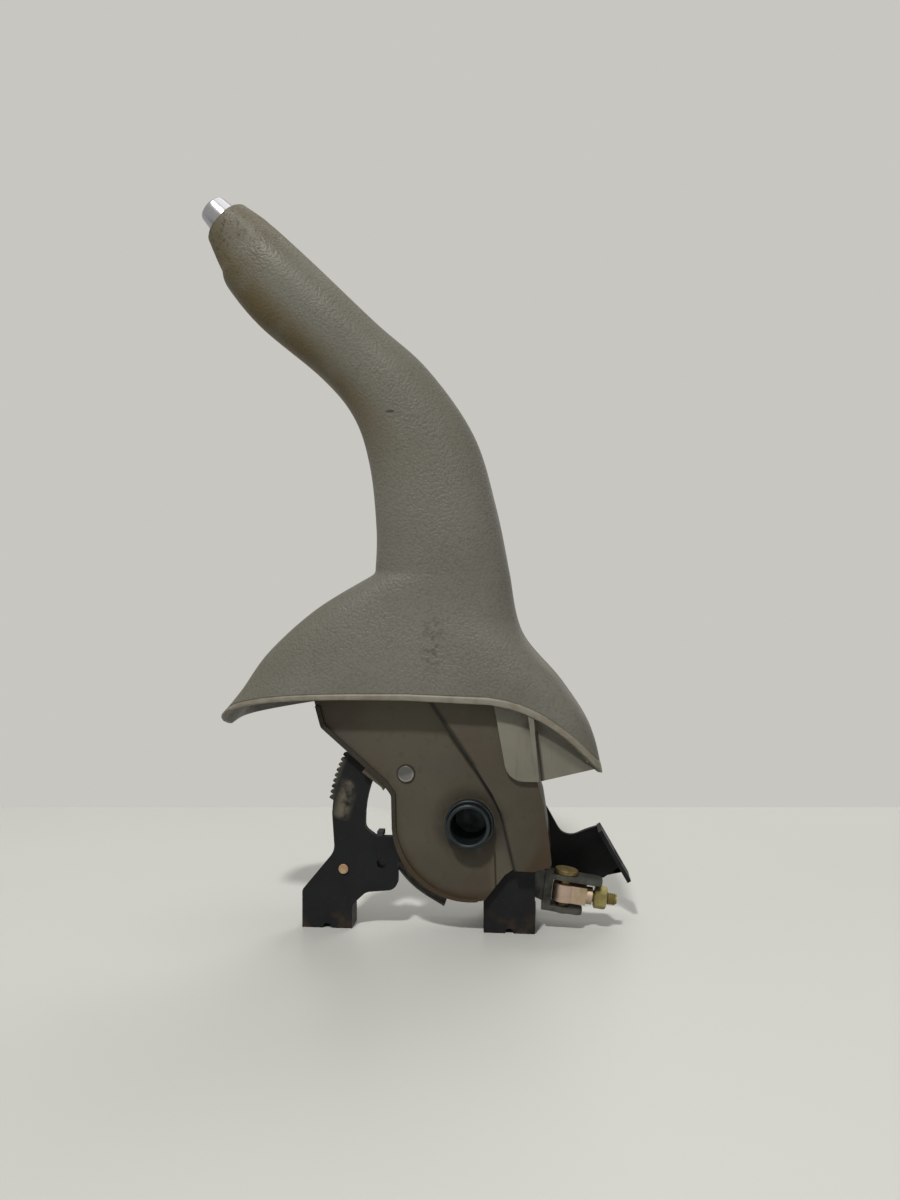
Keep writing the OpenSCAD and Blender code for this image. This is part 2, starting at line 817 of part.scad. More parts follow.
// Coil between the guide and the pressed button
module button_spring() {
    wire = 0.6;
    turns = 6;
    per = 16;
    low = -guide_depth + wire + seat_gap;
    rise = guide_depth - button_in - button_travel - 2 * wire - 0.5;
    coil_r = rod_r + 2.6;
    loops = [for (i = [0 : turns * per])
        let (a = 360 * i / per, z = low + rise * i / (turns * per))
        [for (k = [0 : 5]) let (q = polar(wire, 60 * k))
            [(coil_r + q[0]) * cos(a), (coil_r + q[0]) * sin(a), z + q[1]]]];
    m = len(loops);
    sides = [for (k = [0 : m - 2], i = [0 : 5])
        let (a = k * 6 + i, b = k * 6 + (i + 1) % 6)
        each [[a, b, a + 6], [b, b + 6, a + 6]]];
    ends = [[for (i = [5 : -1 : 0]) i], [for (i = [0 : 5]) (m - 1) * 6 + i]];
    color(zinc)
        at_grip_end()
            polyhedron(points = [for (q = loops) each q], faces = concat(sides, ends));
}

// Pawl in the plane of the teeth, its tail bent over to the rod
module pawl() {
    tip = polar(pawl_tip_r, pawl_at + pawl_span);
    out = unit(tip);
    side = [-out[1], out[0]];
    tail_z = bend[1] - rod_drop * sin(leg_angle) - 0.9;
    tail_x = bend[0] - rod_drop * cos(leg_angle);
    color(black_steel)
        at_pivot()
            difference() {
                union() {
                    slab(plate_y0, plate_y1) {
                        translate(pawl_pin)
                            circle(pawl_pin_r + 3.5);
                        polygon([
                            tip,
                            tip + out * 3 + side * 1.6,
                            tip + out * 9 + side * 1.6,
                            pawl_pin + out * (pawl_pin_r + 3),
                            pawl_pin - out * 2,
                            tip + out * 3.2 - side * 8,
                            tip + out * 2.4 - side * 2]);
                        polygon([
                            [pawl_pin[0], pawl_pin[1] + pawl_pin_r + 3],
                            [pawl_pin[0] + 2, pawl_pin[1] - 2],
                            [tail_x - 4, tail_z - 2.4],
                            [tail_x + 8, tail_z - 2.4],
                            [tail_x + 8, tail_z],
                            [tail_x - 4, tail_z]]);
                    }
                    translate([tail_x - 4, plate_y0, tail_z - 2.4])
                        cube([12, rod_r + 2 - plate_y0, 2.4]);
                }
                bar(pawl_pin, pawl_pin_r + run_gap, -40, 40);
            }
}

// Upper or lower plate of the yoke, from its web to its rounded end
module yoke_plate(reach) {
    linear_extrude(yoke_t)
        polygon(rounded([
            [-10, -yoke_half, 0],
            [reach, -yoke_half, 3.5],
            [reach, yoke_half, 3.5],
            [-10, yoke_half, 0]]));
}

// Yoke: two ears on the stub pin, web, upper and lower plate for the swivel
module cable_yoke() {
    top = yoke_gap + yoke_t;
    color(zinc) {
        at_pivot()
            difference() {
                for (y = [ear_y0, ear_y1 - yoke_t])
                    slab(y, y + yoke_t) {
                        translate(cable_pin_at)
                            circle(cable_pin_r + 4);
                        polygon([[17, -13.6], [37.2, -25.4], [36, -40], [9.3, -27.4]]);
                    }
                bar(cable_pin_at, cable_pin_r + run_gap, -40, 40);
            }
        at_swivel()
            difference() {
                union() {
                    translate([-10, -yoke_half, -top])
                        cube([yoke_t + 1.55, 2 * yoke_half, 2 * top]);
                    translate([0, 0, yoke_gap])
                        yoke_plate(18);
                    translate([0, 0, -top])
                        yoke_plate(10);
                }
                translate([0, 0, -20])
                    cylinder(r = swivel_r + seat_gap, h = 40);
            }
    }
}

module swivel_pin() {
    top = yoke_gap + yoke_t + seat_gap;
    color(gold_zinc)
        at_swivel() {
            translate([0, 0, -top])
                cylinder(r = swivel_r, h = 2 * top);
            translate([0, 0, top])
                cylinder(r = swivel_r + 2.9, h = 2.3);
            translate([0, 0, -top - 1])
                cylinder(r = swivel_r + 1.2, h = 1);
        }
}

// Clevis block turning on the swivel pin, threaded rod pressed into its neck
clevis_half = 4.2;
clevis_end = 14;
rod_in = 8;

module swivel_clevis() {
    color(gold_zinc)
        at_swivel()
            difference() {
                union() {
                    translate([0, 0, -clevis_half])
                        cylinder(r = swivel_r + 2.6, h = 2 * clevis_half);
                    translate([0, -clevis_half, -clevis_half])
                        cube([clevis_end - 3, 2 * clevis_half, 2 * clevis_half]);
                    translate([clevis_end - 4, 0, 0])
                        rotate([0, 90, 0])
                            cylinder(r = clevis_half, h = 4);
                }
                translate([0, 0, -10])
                    cylinder(r = swivel_r + run_gap, h = 20);
                translate([rod_in, 0, 0])
                    rotate([0, 90, 0])
                        cylinder(r = thread_r + seat_gap, h = 20);
            }
}

module adjuster_rod() {
    color(gold_zinc)
        at_swivel()
            translate([rod_in + seat_gap, 0, 0])
                rotate([0, 90, 0])
                    rotate_extrude()
                        polygon([[0, 0], [thread_r, 0], [thread_r, 17.4], [thread_r - 0.6, 18], [0, 18]]);
}

module adjuster_nut() {
    color(gold_zinc)
        at_swivel()
            translate([clevis_end + 1, 0, 0])
                rotate([0, 90, 0])
                    difference() {
                        cylinder(r = nut_flats / 2 / cos(30), h = 6, $fn = 6);
                        translate([0, 0, -1])
                            cylinder(r = thread_r + run_gap, h = 8);
                    }
}

base_plate();
rear_arm();
pivot_rivet();
pivot_washer();
pivot_spacer();
spring_leaf();
leaf_rivet();
stop_block();
lever_body();
bush_near();
bush_far();
spacer_rivet();
grip_tube();
rod_guide();
pawl_pin_rivet();
cable_pin();
pin_clip();
grip_cover();
cover_saddle();
button();
release_rod();
button_spring();
pawl();
cable_yoke();
swivel_pin();
swivel_clevis();
adjuster_rod();
adjuster_nut();
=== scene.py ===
# %% [markdown]
# # Parking brake lever
# This lesson dresses the CAD model of a floor parking brake lever. The CAD
# gives every size and every joint; Blender adds the soft vinyl cover, the
# rounded edges of the stamped steel, the thread on the adjuster and all the
# finishes. Lengths are in metres, and the frame is the CAD's own.

# %% Load the frame
import json
import math

import bmesh
import bpy
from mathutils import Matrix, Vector

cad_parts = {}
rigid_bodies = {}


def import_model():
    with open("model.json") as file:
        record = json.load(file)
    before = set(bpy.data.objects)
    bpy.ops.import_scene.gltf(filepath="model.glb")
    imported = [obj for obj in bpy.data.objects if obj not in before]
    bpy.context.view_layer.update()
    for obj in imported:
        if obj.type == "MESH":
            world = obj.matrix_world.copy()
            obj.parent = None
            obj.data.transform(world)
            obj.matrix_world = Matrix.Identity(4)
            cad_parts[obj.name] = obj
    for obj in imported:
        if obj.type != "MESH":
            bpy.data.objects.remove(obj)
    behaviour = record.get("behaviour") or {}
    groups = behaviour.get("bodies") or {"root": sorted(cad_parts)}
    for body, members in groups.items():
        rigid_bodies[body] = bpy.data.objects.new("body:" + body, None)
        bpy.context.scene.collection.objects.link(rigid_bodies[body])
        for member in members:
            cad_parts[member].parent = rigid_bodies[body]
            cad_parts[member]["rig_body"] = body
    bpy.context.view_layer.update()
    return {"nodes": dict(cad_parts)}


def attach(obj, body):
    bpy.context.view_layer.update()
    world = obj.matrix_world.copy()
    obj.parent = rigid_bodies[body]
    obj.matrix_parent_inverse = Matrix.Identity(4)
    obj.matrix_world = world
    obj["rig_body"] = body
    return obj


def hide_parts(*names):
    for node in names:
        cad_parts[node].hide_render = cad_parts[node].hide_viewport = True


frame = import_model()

# %% [markdown]
# ## Selecting and starting a piece
# Operators act on whatever is selected, and the loaded CAD nodes arrive
# selected. So each step starts from an empty selection and makes one object
# active.

# %% Selection helpers
MM = 0.001


def clear_selection():
    """Deselect everything."""
    bpy.ops.object.select_all(action="DESELECT")


def make_active(piece):
    """Select one piece and make it the active object."""
    clear_selection()
    piece.select_set(True)
    bpy.context.view_layer.objects.active = piece


def apply_modifiers(piece):
    """Apply a piece's modifiers, first to last."""
    make_active(piece)
    for modifier in list(piece.modifiers):
        bpy.ops.object.modifier_apply(modifier=modifier.name)


def smooth(piece, angle):
    """Shade a piece smooth, but not over edges sharper than an angle."""
    make_active(piece)
    bpy.ops.object.shade_smooth_by_angle(angle=math.radians(angle))


def face_count(piece):
    """Faces in a piece, for the printed notes."""
    return len(piece.data.polygons)


clear_selection()
print("selected objects:", len(bpy.context.selected_objects))

# %% [markdown]
# ## Camera
# The lever stands side on, and the camera looks at it level, a little from
# the rear. A 30 mm lens on a 36 mm tall sensor, half a metre away, gives the
# same strong perspective on the skirt and the feet as a phone camera does.

# %% Camera
LOOK_AT = Vector((15.05, -9, 162)) * MM
CAMERA_AWAY = 0.5
CAMERA_TURN = math.radians(5.5)

camera_data = bpy.data.cameras.new("side_camera")
camera_data.sensor_fit = "VERTICAL"
camera_data.sensor_height = 36
camera_data.lens = 30
camera_data.clip_start = 0.01
camera = bpy.data.objects.new("side_camera", camera_data)
bpy.context.scene.collection.objects.link(camera)
camera.location = LOOK_AT + CAMERA_AWAY * Vector((math.sin(CAMERA_TURN), -math.cos(CAMERA_TURN), 0))
camera.rotation_euler = (math.pi / 2, 0, CAMERA_TURN)
bpy.context.scene.camera = camera
print("camera at", tuple(camera.location))

# %% [markdown]
# ## Naming a colour
# Paint colours are easiest to write as the 0 to 255 values seen on a screen.
# Blender's sockets want linear light, so one small function converts them.


# %% Screen colour to linear colour
def screen_colour(red, green, blue):
    """Linear RGBA for a colour given as 0 to 255 screen values."""
    linear = []
    for level in (red, green, blue):
        share = level / 255
        linear.append(share / 12.92 if share <= 0.04045 else ((share + 0.055) / 1.055) ** 2.4)
    return (*linear, 1.0)


print("mid grey in linear light:", screen_colour(128, 128, 128)[0])

# %% [markdown]
# ## A small workshop for finishes
# Every finish here is a Principled shader fed by noise, cells and masks that
# are measured from places on the object. The class keeps one material's nodes
# together and gives the usual ones short names, so that a finish reads as a
# list of what happened to the surface: mottled, soiled, rubbed.


# %% Finish helper
class Finish:
    """One procedural material while it is being built."""

    def __init__(self, name, roughness, metallic=0.0):
        self.material = bpy.data.materials.new(name)
        self.material.use_nodes = True
        self.nodes = self.material.node_tree.nodes
        self.links = self.material.node_tree.links
        self.shader = self.nodes["Principled BSDF"]
        self.shader.inputs["Roughness"].default_value = roughness
        self.shader.inputs["Metallic"].default_value = metallic
        self.where = self.nodes.new("ShaderNodeTexCoord").outputs["Object"]

    def feed(self, socket, value):
        """Link an output to a socket, or set a plain value on it."""
        if isinstance(value, bpy.types.NodeSocket):
            self.links.new(value, socket)
        else:
            socket.default_value = value

    def add(self, kind, inputs, **settings):
        """The outputs of a new node, with its sockets fed and its settings made."""
        node = self.nodes.new("ShaderNode" + kind)
        for name, value in settings.items():
            setattr(node, name, value)
        for socket, value in inputs.items():
            self.feed(node.inputs[socket], value)
        return node.outputs

    def vectors(self, operation, *values):
        """The outputs of one vector maths node."""
        return self.add("VectorMath", dict(enumerate(values)), operation=operation)

    def noise(self, scale, detail=3.0, stretch=None):
        """Cloudy noise, about 0.2 to 0.8, drawn out into streaks if asked."""
        where = self.vectors("MULTIPLY", self.where, stretch)["Vector"] if stretch else self.where
        return self.add("TexNoise", {"Scale": scale, "Detail": detail, "Vector": where})["Fac"]

    def wandering(self, scale, reach):
        """Object coordinates pushed about by noise, for uneven grain."""
        wobble = self.add("TexNoise", {"Scale": scale, "Vector": self.where})["Color"]
        return self.vectors("MULTIPLY_ADD", wobble, (reach, reach, reach), self.where)["Vector"]

    def cells(self, scale, where):
        """Distance inside soft Voronoi cells, for grain."""
        inputs = {"Scale": scale, "Vector": where}
        return self.add("TexVoronoi", inputs, feature="SMOOTH_F1")["Distance"]

    def between(self, value, start, end):
        """0 at start, 1 at end, smooth in between."""
        inputs = {"Value": value, "From Min": start, "From Max": end}
        return self.add("MapRange", inputs, interpolation_type="SMOOTHSTEP")["Result"]

    def patches(self, scale, detail, start, end):
        """Noise sharpened into patches, 0 at start and 1 at end."""
        return self.between(self.noise(scale, detail), start, end)

    def maths(self, operation, first, second):
        """One maths node."""
        return self.add("Math", {0: first, 1: second}, operation=operation)["Value"]

    def times(self, *values):
        """Product of several masks."""
        product = values[0]
        for value in values[1:]:
            product = self.maths("MULTIPLY", product, value)
        return product

    def away_from(self, point, count=(1, 1, 1)):
        """Distance from a point, with each axis counted so many times."""
        offset = self.vectors("SUBTRACT", self.where, point)["Vector"]
        counted = self.vectors("MULTIPLY", offset, count)["Vector"]
        return self.vectors("LENGTH", counted)["Value"]

    def along(self, direction):
        """How far along a direction a place lies."""
        return self.vectors("DOT_PRODUCT", self.where, direction)["Value"]

    def mix(self, share, first, second):
        """First colour where share is 0, second where it is 1."""
        inputs = {"Factor": share, 6: first, 7: second}
        return self.add("Mix", inputs, data_type="RGBA")[2]

    def blend(self, share, main, other):
        """A mix of two screen colours."""
        return self.mix(share, screen_colour(*main), screen_colour(*other))

    def stain(self, under, mask, strength, colour):
        """A screen colour laid over another colour through a mask."""
        return self.mix(self.times(mask, strength), under, screen_colour(*colour))

    def bump(self, height, depth, strength, under=None):
        """A normal raised by a height, over an earlier normal."""
        inputs = {"Distance": depth, "Strength": strength, "Height": height}
        if under:
            inputs["Normal"] = under
        return self.add("Bump", inputs)["Normal"]

    def set(self, name, value):
        """Feed one of the shader's own sockets."""
        self.feed(self.shader.inputs[name], value)


print("finish helper ready")

# %% [markdown]
# ## Floor
# The stage is a plain pale sheet that ends a little behind the lever.

# %% Floor
FLOOR_WIDTH, FLOOR_DEPTH = 6.0, 3.0
FLOOR_DROP = 0.0002
EDGE_AWAY = 0.783

forward = Vector((-math.sin(CAMERA_TURN), math.cos(CAMERA_TURN), 0))
middle = camera.location + forward * (EDGE_AWAY - FLOOR_DEPTH / 2)
clear_selection()
bpy.ops.mesh.primitive_plane_add(
    size=1, location=(middle.x, middle.y, -FLOOR_DROP), rotation=(0, 0, CAMERA_TURN))
floor = bpy.context.object
floor.name = "floor"
floor.scale = (FLOOR_WIDTH, FLOOR_DEPTH, 1)
bpy.ops.object.transform_apply(location=True, rotation=True, scale=True)

sheet = Finish("pale_floor", roughness=0.4)
sheet.set("Base Color", sheet.blend(
    sheet.noise(3.0), (190, 191, 187), (197, 198, 194)))
sheet.set("Specular IOR Level", 0.35)
floor.data.materials.append(sheet.material)
print("floor ends", EDGE_AWAY, "m from the camera")

# %% [markdown]
# ## Background
# Above the floor's edge the camera sees an even pale background. The surfaces
# get a weaker light from it, so that the lamps can draw the shadows.

# %% Background
WARM_WHITE = (1.0, 0.985, 0.95)

world = bpy.data.worlds.new("pale_room")
bpy.context.scene.world = world
world.use_nodes = True
room = world.node_tree.nodes
room_links = world.node_tree.links
rays = room.new("ShaderNodeLightPath")
seen = rays.outputs["Is Camera Ray"]
for ray in ("Is Glossy Ray", "Is Transmission Ray"):
    either = room.new("ShaderNodeMath")
    either.operation = "MAXIMUM"
    room_links.new(seen, either.inputs[0])
    room_links.new(rays.outputs[ray], either.inputs[1])
    seen = either.outputs["Value"]
backdrop = room["Background"]
backdrop.inputs["Color"].default_value = screen_colour(200, 198, 192)
backdrop.inputs["Strength"].default_value = 1.0
ambient = room.new("ShaderNodeBackground")
ambient.inputs["Color"].default_value = (*WARM_WHITE, 1)
ambient.inputs["Strength"].default_value = 0.2
choose = room.new("ShaderNodeMixShader")
room_links.new(seen, choose.inputs["Fac"])
room_links.new(ambient.outputs["Background"], choose.inputs[1])
room_links.new(backdrop.outputs["Background"], choose.inputs[2])
room_links.new(choose.outputs["Shader"], room["World Output"].inputs["Surface"])
print("background nodes:", len(room))

# %% [markdown]
# ## Lamps
# A small lamp high in front throws the shadow of the skirt on the lever, and a
# wide one overhead fills it. A third behind lights the far side; it is kept out
# of reflections, so that it draws no bright lines on the edges seen from the
# front. Their level lets a colour render about as it is written.


# %% Lamps
def add_lamp(name, place, target, size, power):
    """A square area lamp that faces a target."""
    data = bpy.data.lights.new(name, "AREA")
    data.size = size
    data.energy = power
    data.color = WARM_WHITE
    lamp = bpy.data.objects.new(name, data)
    bpy.context.scene.collection.objects.link(lamp)
    lamp.location = place
    lamp.rotation_euler = (Vector(target) - Vector(place)).to_track_quat("-Z", "Y").to_euler()
    return lamp


add_lamp("key_lamp", (-0.25, -1.2, 1.6), (0, 0, 0.15), 0.15, 30)
add_lamp("ceiling_lamp", (0.1, 0.15, 1.6), (0, 0, 0.1), 1.2, 6)
add_lamp("rear_lamp", (0.6, 1.4, 1.0), (0, 0, 0.15), 1.0, 14).visible_glossy = False

bpy.context.scene.view_settings.view_transform = "Standard"

# %% [markdown]
# ## Skinning rings
# The cover, the turned parts and the threads are all rows of rings. By hand
# one adds a circle, extrudes its edge and moves the new ring into place, again
# and again. The helper does just that. Each vertex carries its number in a
# layer that the extrusion copies, so the new vertices know their places.


# %% Skin a row of rings
MERGE = 1e-7


def ring_about(centre, first, second, sides, radius_at):
    """Points round a centre, in the plane of two directions, radii in mm."""
    ring = []
    for count in range(sides):
        turn = 2 * math.pi * count / sides
        spoke = first * math.cos(turn) + second * math.sin(turn)
        ring.append(centre + spoke * radius_at(turn) * MM)
    return ring


def put_in_order(piece, place):
    """Sort a mesh in edit mode by place, as extruding leaves that to chance."""
    mesh = bmesh.from_edit_mesh(piece.data)
    mesh.verts.sort(key=place)
    mesh.verts.index_update()
    total = len(mesh.verts)

    def rank(part):
        """One number from the lowest and the two highest vertices of a part."""
        ends = sorted(vertex.index for vertex in part.verts)
        return (ends[-1] * total + ends[-2]) * total + ends[0]

    mesh.edges.sort(key=rank)
    mesh.faces.sort(key=rank)
    bmesh.update_edit_mesh(piece.data)


def skin_rings(name, rings):
    """Extrude a circle through a row of rings, then merge and close it."""
    sides = len(rings[0])
    clear_selection()
    bpy.ops.mesh.primitive_circle_add(vertices=sides)
    piece = bpy.context.object
    piece.name = name
    piece.data.name = name
    bpy.ops.object.mode_set(mode="EDIT")
    mesh = bmesh.from_edit_mesh(piece.data)
    number = mesh.verts.layers.int.new("number")
    for count, vertex in enumerate(mesh.verts):
        vertex[number] = count
        vertex.co = rings[0][count]
    for ring in rings[1:]:
        bpy.ops.mesh.extrude_region()
        mesh = bmesh.from_edit_mesh(piece.data)
        number = mesh.verts.layers.int["number"]
        for vertex in mesh.verts:
            if vertex.select:
                vertex.co = ring[vertex[number] % sides]
                vertex[number] += sides
        bmesh.update_edit_mesh(piece.data)
    put_in_order(piece, lambda vertex: vertex[number])
    bpy.ops.mesh.select_all(action="SELECT")
    bpy.ops.mesh.remove_doubles(threshold=MERGE)
    bpy.ops.mesh.normals_make_consistent(inside=False)
    bpy.ops.object.mode_set(mode="OBJECT")
    return piece


print("ring skinner ready")

# %% [markdown]
# ## The cover's outline
# The cover is one moulding of soft vinyl: a grip, a bent neck and a skirt that
# opens over the tunnel. Its side view is set by rows, each a front point, a
# rear point, a half width and a squareness. The numbers are the CAD's, in
# millimetres from the pivot.

# %% Cover rows
PIVOT = Vector((26, -9, 54))
BEND = (-25.6, 195.6)
LEG_ANGLE, GRIP_ANGLE = 99.3, 133.6
GRIP_LENGTH = 145
COVER_HALF = 21
RIM_ARCH = 25
GRIP_SQUARE = 2.4


def polar(radius, angle):
    """Side-view vector of a length at an angle in degrees."""
    turn = math.radians(angle)
    return (radius * math.cos(turn), radius * math.sin(turn))


def moved(point, radius, angle):
    """A side-view point moved by a length at an angle in degrees."""
    dx, dz = polar(radius, angle)
    return (point[0] + dx, point[1] + dz)


def side_view(point):
    """A side-view point as a vector in the frame."""
    return Vector((point[0], 0, point[1]))


def grip_row(share, front, rear, half):
    """A row square across the grip, a share of the way to its end."""
    middle = moved(BEND, share * GRIP_LENGTH, GRIP_ANGLE)
    ends = moved(middle, front, GRIP_ANGLE + 90) + moved(middle, rear, GRIP_ANGLE - 90)
    return (*ends, half, GRIP_SQUARE, 0)


# front x and z, rear x and z, half width, squareness, share of the rim's arch
grip_rows = [
    grip_row(1, 12.3, 12.3, 0.6),
    grip_row(0.915, 16.9, 14.8, 0.71),
    grip_row(0.872, 19, 15.5, 0.78),
    grip_row(0.815, 22.5, 16.2, 0.84),
    grip_row(0.64, 24, 17.6, 0.88),
    grip_row(0.36, 19.6, 19.2, 0.86),
    (-59.1, 199.3, -22, 223.2, 0.88, 2.3, 0),
    (-50.9, 174.5, 1, 190, 0.93, 2.6, 0),
    (-47.4, 142.7, 12.1, 154.3, 1, 2.8, 0),
    (-47.9, 121.1, 19, 120.4, 1.02, 3, 0),
]
skirt_rows = [
    (-47.9, 121.1, 19, 120.4, 1.02, 3, 0),
    (-77.2, 102.8, 25.2, 92, 1.1, 3.3, 0.22),
    (-101.3, 80, 44.7, 67.9, 1.2, 3.6, 0.5),
    (-115.4, 58.8, 58.4, 46.3, 1.28, 3.8, 0.8),
    (-125.3, 45.2, 63.8, 25.2, 1.33, 4, 1),
]
print("cover rows:", len(grip_rows), "on the grip,", len(skirt_rows), "on the skirt")

# %% [markdown]
# ## A curve through the rows
# A smooth curve runs through the rows. Where the neck meets the skirt it starts
# afresh, which leaves a corner, rounded a little.


# %% Curve through the rows
def blend_rows(rows, at):
    """The row at a fractional place in a list, on a smooth curve through it."""
    first = min(int(at), len(rows) - 2)
    share = at - first
    a, b, c, d = (rows[max(0, min(len(rows) - 1, first + step))] for step in (-1, 0, 1, 2))
    return [0.5 * (2 * q + (r - p) * share + (2 * p - 5 * q + 4 * r - s) * share**2
                   + (3 * q - p - 3 * r + s) * share**3)
            for p, q, r, s in zip(a, b, c, d)]


GRIP_SPANS = len(grip_rows) - 1
COVER_SPANS = GRIP_SPANS + len(skirt_rows) - 1
# How far the rounded corner reaches from the row where neck and skirt meet
CORNER = 0.12


def cover_row(at):
    """The cover's row at a place from 0, the grip's end, to the rim."""
    if abs(at - GRIP_SPANS) < CORNER - 1e-6:
        before, after = cover_row(GRIP_SPANS - CORNER), cover_row(GRIP_SPANS + CORNER)
        share = (at - GRIP_SPANS + CORNER) / (2 * CORNER)
        return [a * (1 - share) ** 2 + 2 * b * share * (1 - share) + c * share**2
                for a, b, c in zip(before, skirt_rows[0], after)]
    if at < GRIP_SPANS:
        return blend_rows(grip_rows, at)
    return blend_rows(skirt_rows, at - GRIP_SPANS)


print("spans of the curve:", COVER_SPANS)

# %% [markdown]
# ## Sections of the cover
# A section is a squared ellipse, walked in equal steps of angle. The skirt is
# squarer at the rear, and its rim arches over the lever, so both depend on the
# place in the section.


# %% Cover sections
COVER_SIDES = 112
REAR_SQUARE = 0.75
# The rim's arch: its span and extra height at the rear, its fall at the front,
# and how much lower it stays on the far side
REAR_SPAN, REAR_EXTRA = 0.6, 0.25
SIDE_POWER, FRONT_FALL, FAR_DROP = 1.5, 0.4, 0.6


def power(value, squareness):
    """Signed power that squares off an ellipse."""
    return math.copysign(abs(value) ** (2 / squareness), value)


def rim_lift(arch, across, aside):
    """How far the rim's arch raises a place in a section."""
    if across > 0:
        rear = 1 - max(0, 1 - (1 - across) / REAR_SPAN) ** 2
        return RIM_ARCH * arch * rear * (1 + REAR_EXTRA * across)
    far_side = FAR_DROP * (-across) ** SIDE_POWER if aside > 0 else 0
    return RIM_ARCH * arch * abs(aside) ** SIDE_POWER * (1 + FRONT_FALL * across) * (1 - far_side)


def section(row, inset=0.0, shift=(0.0, 0.0)):
    """Points round the cover at a row, in metres, set in by a thickness."""
    fx, fz, rx, rz, half, squareness, arch = row
    middle = ((fx + rx) / 2 + shift[0], (fz + rz) / 2 + shift[1])
    length = math.hypot(rx - fx, rz - fz)
    ux, uz = (rx - fx) / length, (rz - fz) / length
    reach = length / 2 - inset
    width = COVER_HALF * half - inset
    points = []
    for count in range(COVER_SIDES):
        turn = 2 * math.pi * count / COVER_SIDES
        corner = squareness * (1 + REAR_SQUARE * arch) if math.cos(turn) > 0 else squareness
        across = power(math.cos(turn), corner)
        aside = power(math.sin(turn), corner)
        points.append((PIVOT + Vector((
            middle[0] + reach * across * ux,
            width * aside,
            middle[1] + reach * across * uz + rim_lift(arch, across, aside)))) * MM)
    return points


print("points in a section:", len(section(cover_row(0))))

# %% [markdown]
# ## The tube's passage
# The cover is pushed over a bent steel tube, so a round passage follows the
# tube from the skirt's roof to the lip round the button. Its rings stand
# square to the tube's path: straight, round the bend, straight again.

# %% Passage rings
PASSAGE_R = 10.62
LIP_R = 9.2
BEND_R = 70
LIP_DEPTH, LIP_EDGE, LIP_EASE = 1.5, 0.7, 0.2
BEND_STEPS = 10
ACROSS = Vector((0, 1, 0))
ROOF_AT = len(grip_rows) - 3 + 2 / 3

half_bend = (GRIP_ANGLE - LEG_ANGLE) / 2
bend_cut = BEND_R * math.tan(math.radians(half_bend))


def path_point(along):
    """Place and angle of the tube's path, along from its bend, in mm."""
    if along <= -bend_cut:
        return moved(BEND, along, LEG_ANGLE), LEG_ANGLE
    if along >= bend_cut:
        return moved(BEND, along, GRIP_ANGLE), GRIP_ANGLE
    angle = LEG_ANGLE + (along + bend_cut) / (2 * bend_cut) * (GRIP_ANGLE - LEG_ANGLE)
    centre = moved(moved(BEND, -bend_cut, LEG_ANGLE), BEND_R, LEG_ANGLE + 90)
    return moved(centre, BEND_R, angle - 90), angle


def passage_ring(along, radius):
    """A ring round the tube's path."""
    point, angle = path_point(along)
    centre = (PIVOT + side_view(point)) * MM
    outward = side_view(polar(1, angle - 90))
    return ring_about(centre, outward, ACROSS, COVER_SIDES, lambda turn: radius)


roof_row = cover_row(ROOF_AT)
roof_x, roof_z = (roof_row[0] + roof_row[2]) / 2, (roof_row[1] + roof_row[3]) / 2
roof_depth = math.hypot(roof_x - BEND[0], roof_z - BEND[1])
passage = [passage_ring(-roof_depth, PASSAGE_R)]
passage += [passage_ring(bend_cut * (2 * step / BEND_STEPS - 1), PASSAGE_R)
            for step in range(BEND_STEPS + 1)]
passage += [passage_ring(GRIP_LENGTH - LIP_DEPTH, PASSAGE_R)]
lip = [passage_ring(GRIP_LENGTH - depth, LIP_R + wider) for depth, wider in
       ((LIP_DEPTH, 0), (LIP_EDGE, 0), (LIP_EASE, LIP_EASE), (0, LIP_EDGE))]
print("passage rings:", len(passage), "lip rings:", len(lip))

# %% [markdown]
# ## The cover's skin
# All the rings join into one closed skin: up the passage, over the rounded
# end, down the outside, round the rim and up the inside. Above the rim runs a
# smooth border, set off by a fine groove, where the mould's two halves met the
# trimming edge.

# %% Cover skin
END_ROUND = 2.2
SHELL = 2.5
BORDER = 0.36
GROOVE_AT = COVER_SPANS - BORDER
# Place across the border, 0 to 1, and inset in mm: groove, crown, rounded rim
BORDER_PROFILE = (
    (0.0, 0.0), (0.04, 0.28), (0.07, 0.32), (0.13, 0.06), (0.2, -0.15), (0.33, -0.22),
    (0.6, -0.22), (0.82, -0.2), (0.93, -0.08), (0.985, 0.25), (1.0, 0.65))
RIM_EASE, RIM_INNER = 0.5, 0.03
ROWS, INNER_ROWS, CORNER_ROWS = 10, 4, 4


def end_ring(angle):
    """A ring on the quarter-round edge of the grip's end."""
    turn = math.radians(angle)
    back = polar(-END_ROUND * (1 - math.cos(turn)), GRIP_ANGLE)
    return section(cover_row(0), END_ROUND * (1 - math.sin(turn)), back)


outside = [end_ring(angle) for angle in range(0, 91, 15)]
outside += [section(cover_row(step / ROWS)) for step in range(2, GRIP_SPANS * ROWS - 1)]
outside += [section(cover_row(GRIP_SPANS + CORNER * step / CORNER_ROWS))
            for step in range(-CORNER_ROWS, CORNER_ROWS + 1)]
outside += [section(cover_row(step / ROWS))
            for step in range(GRIP_SPANS * ROWS + 2, int(GROOVE_AT * ROWS) + 1)]
border = [section(cover_row(GROOVE_AT + BORDER * share), inset) for share, inset in BORDER_PROFILE]
inside = [section(cover_row(COVER_SPANS), SHELL - RIM_EASE)]
inside += [section(cover_row(COVER_SPANS - RIM_INNER - step / INNER_ROWS), SHELL)
           for step in range(int((COVER_SPANS - ROOF_AT) * INNER_ROWS))]
inside += [section(roof_row, SHELL)]

cover = skin_rings("cover_skin", passage + lip + outside + border + inside + [passage[0]])
smooth(cover, 50)
print("cover faces:", face_count(cover))

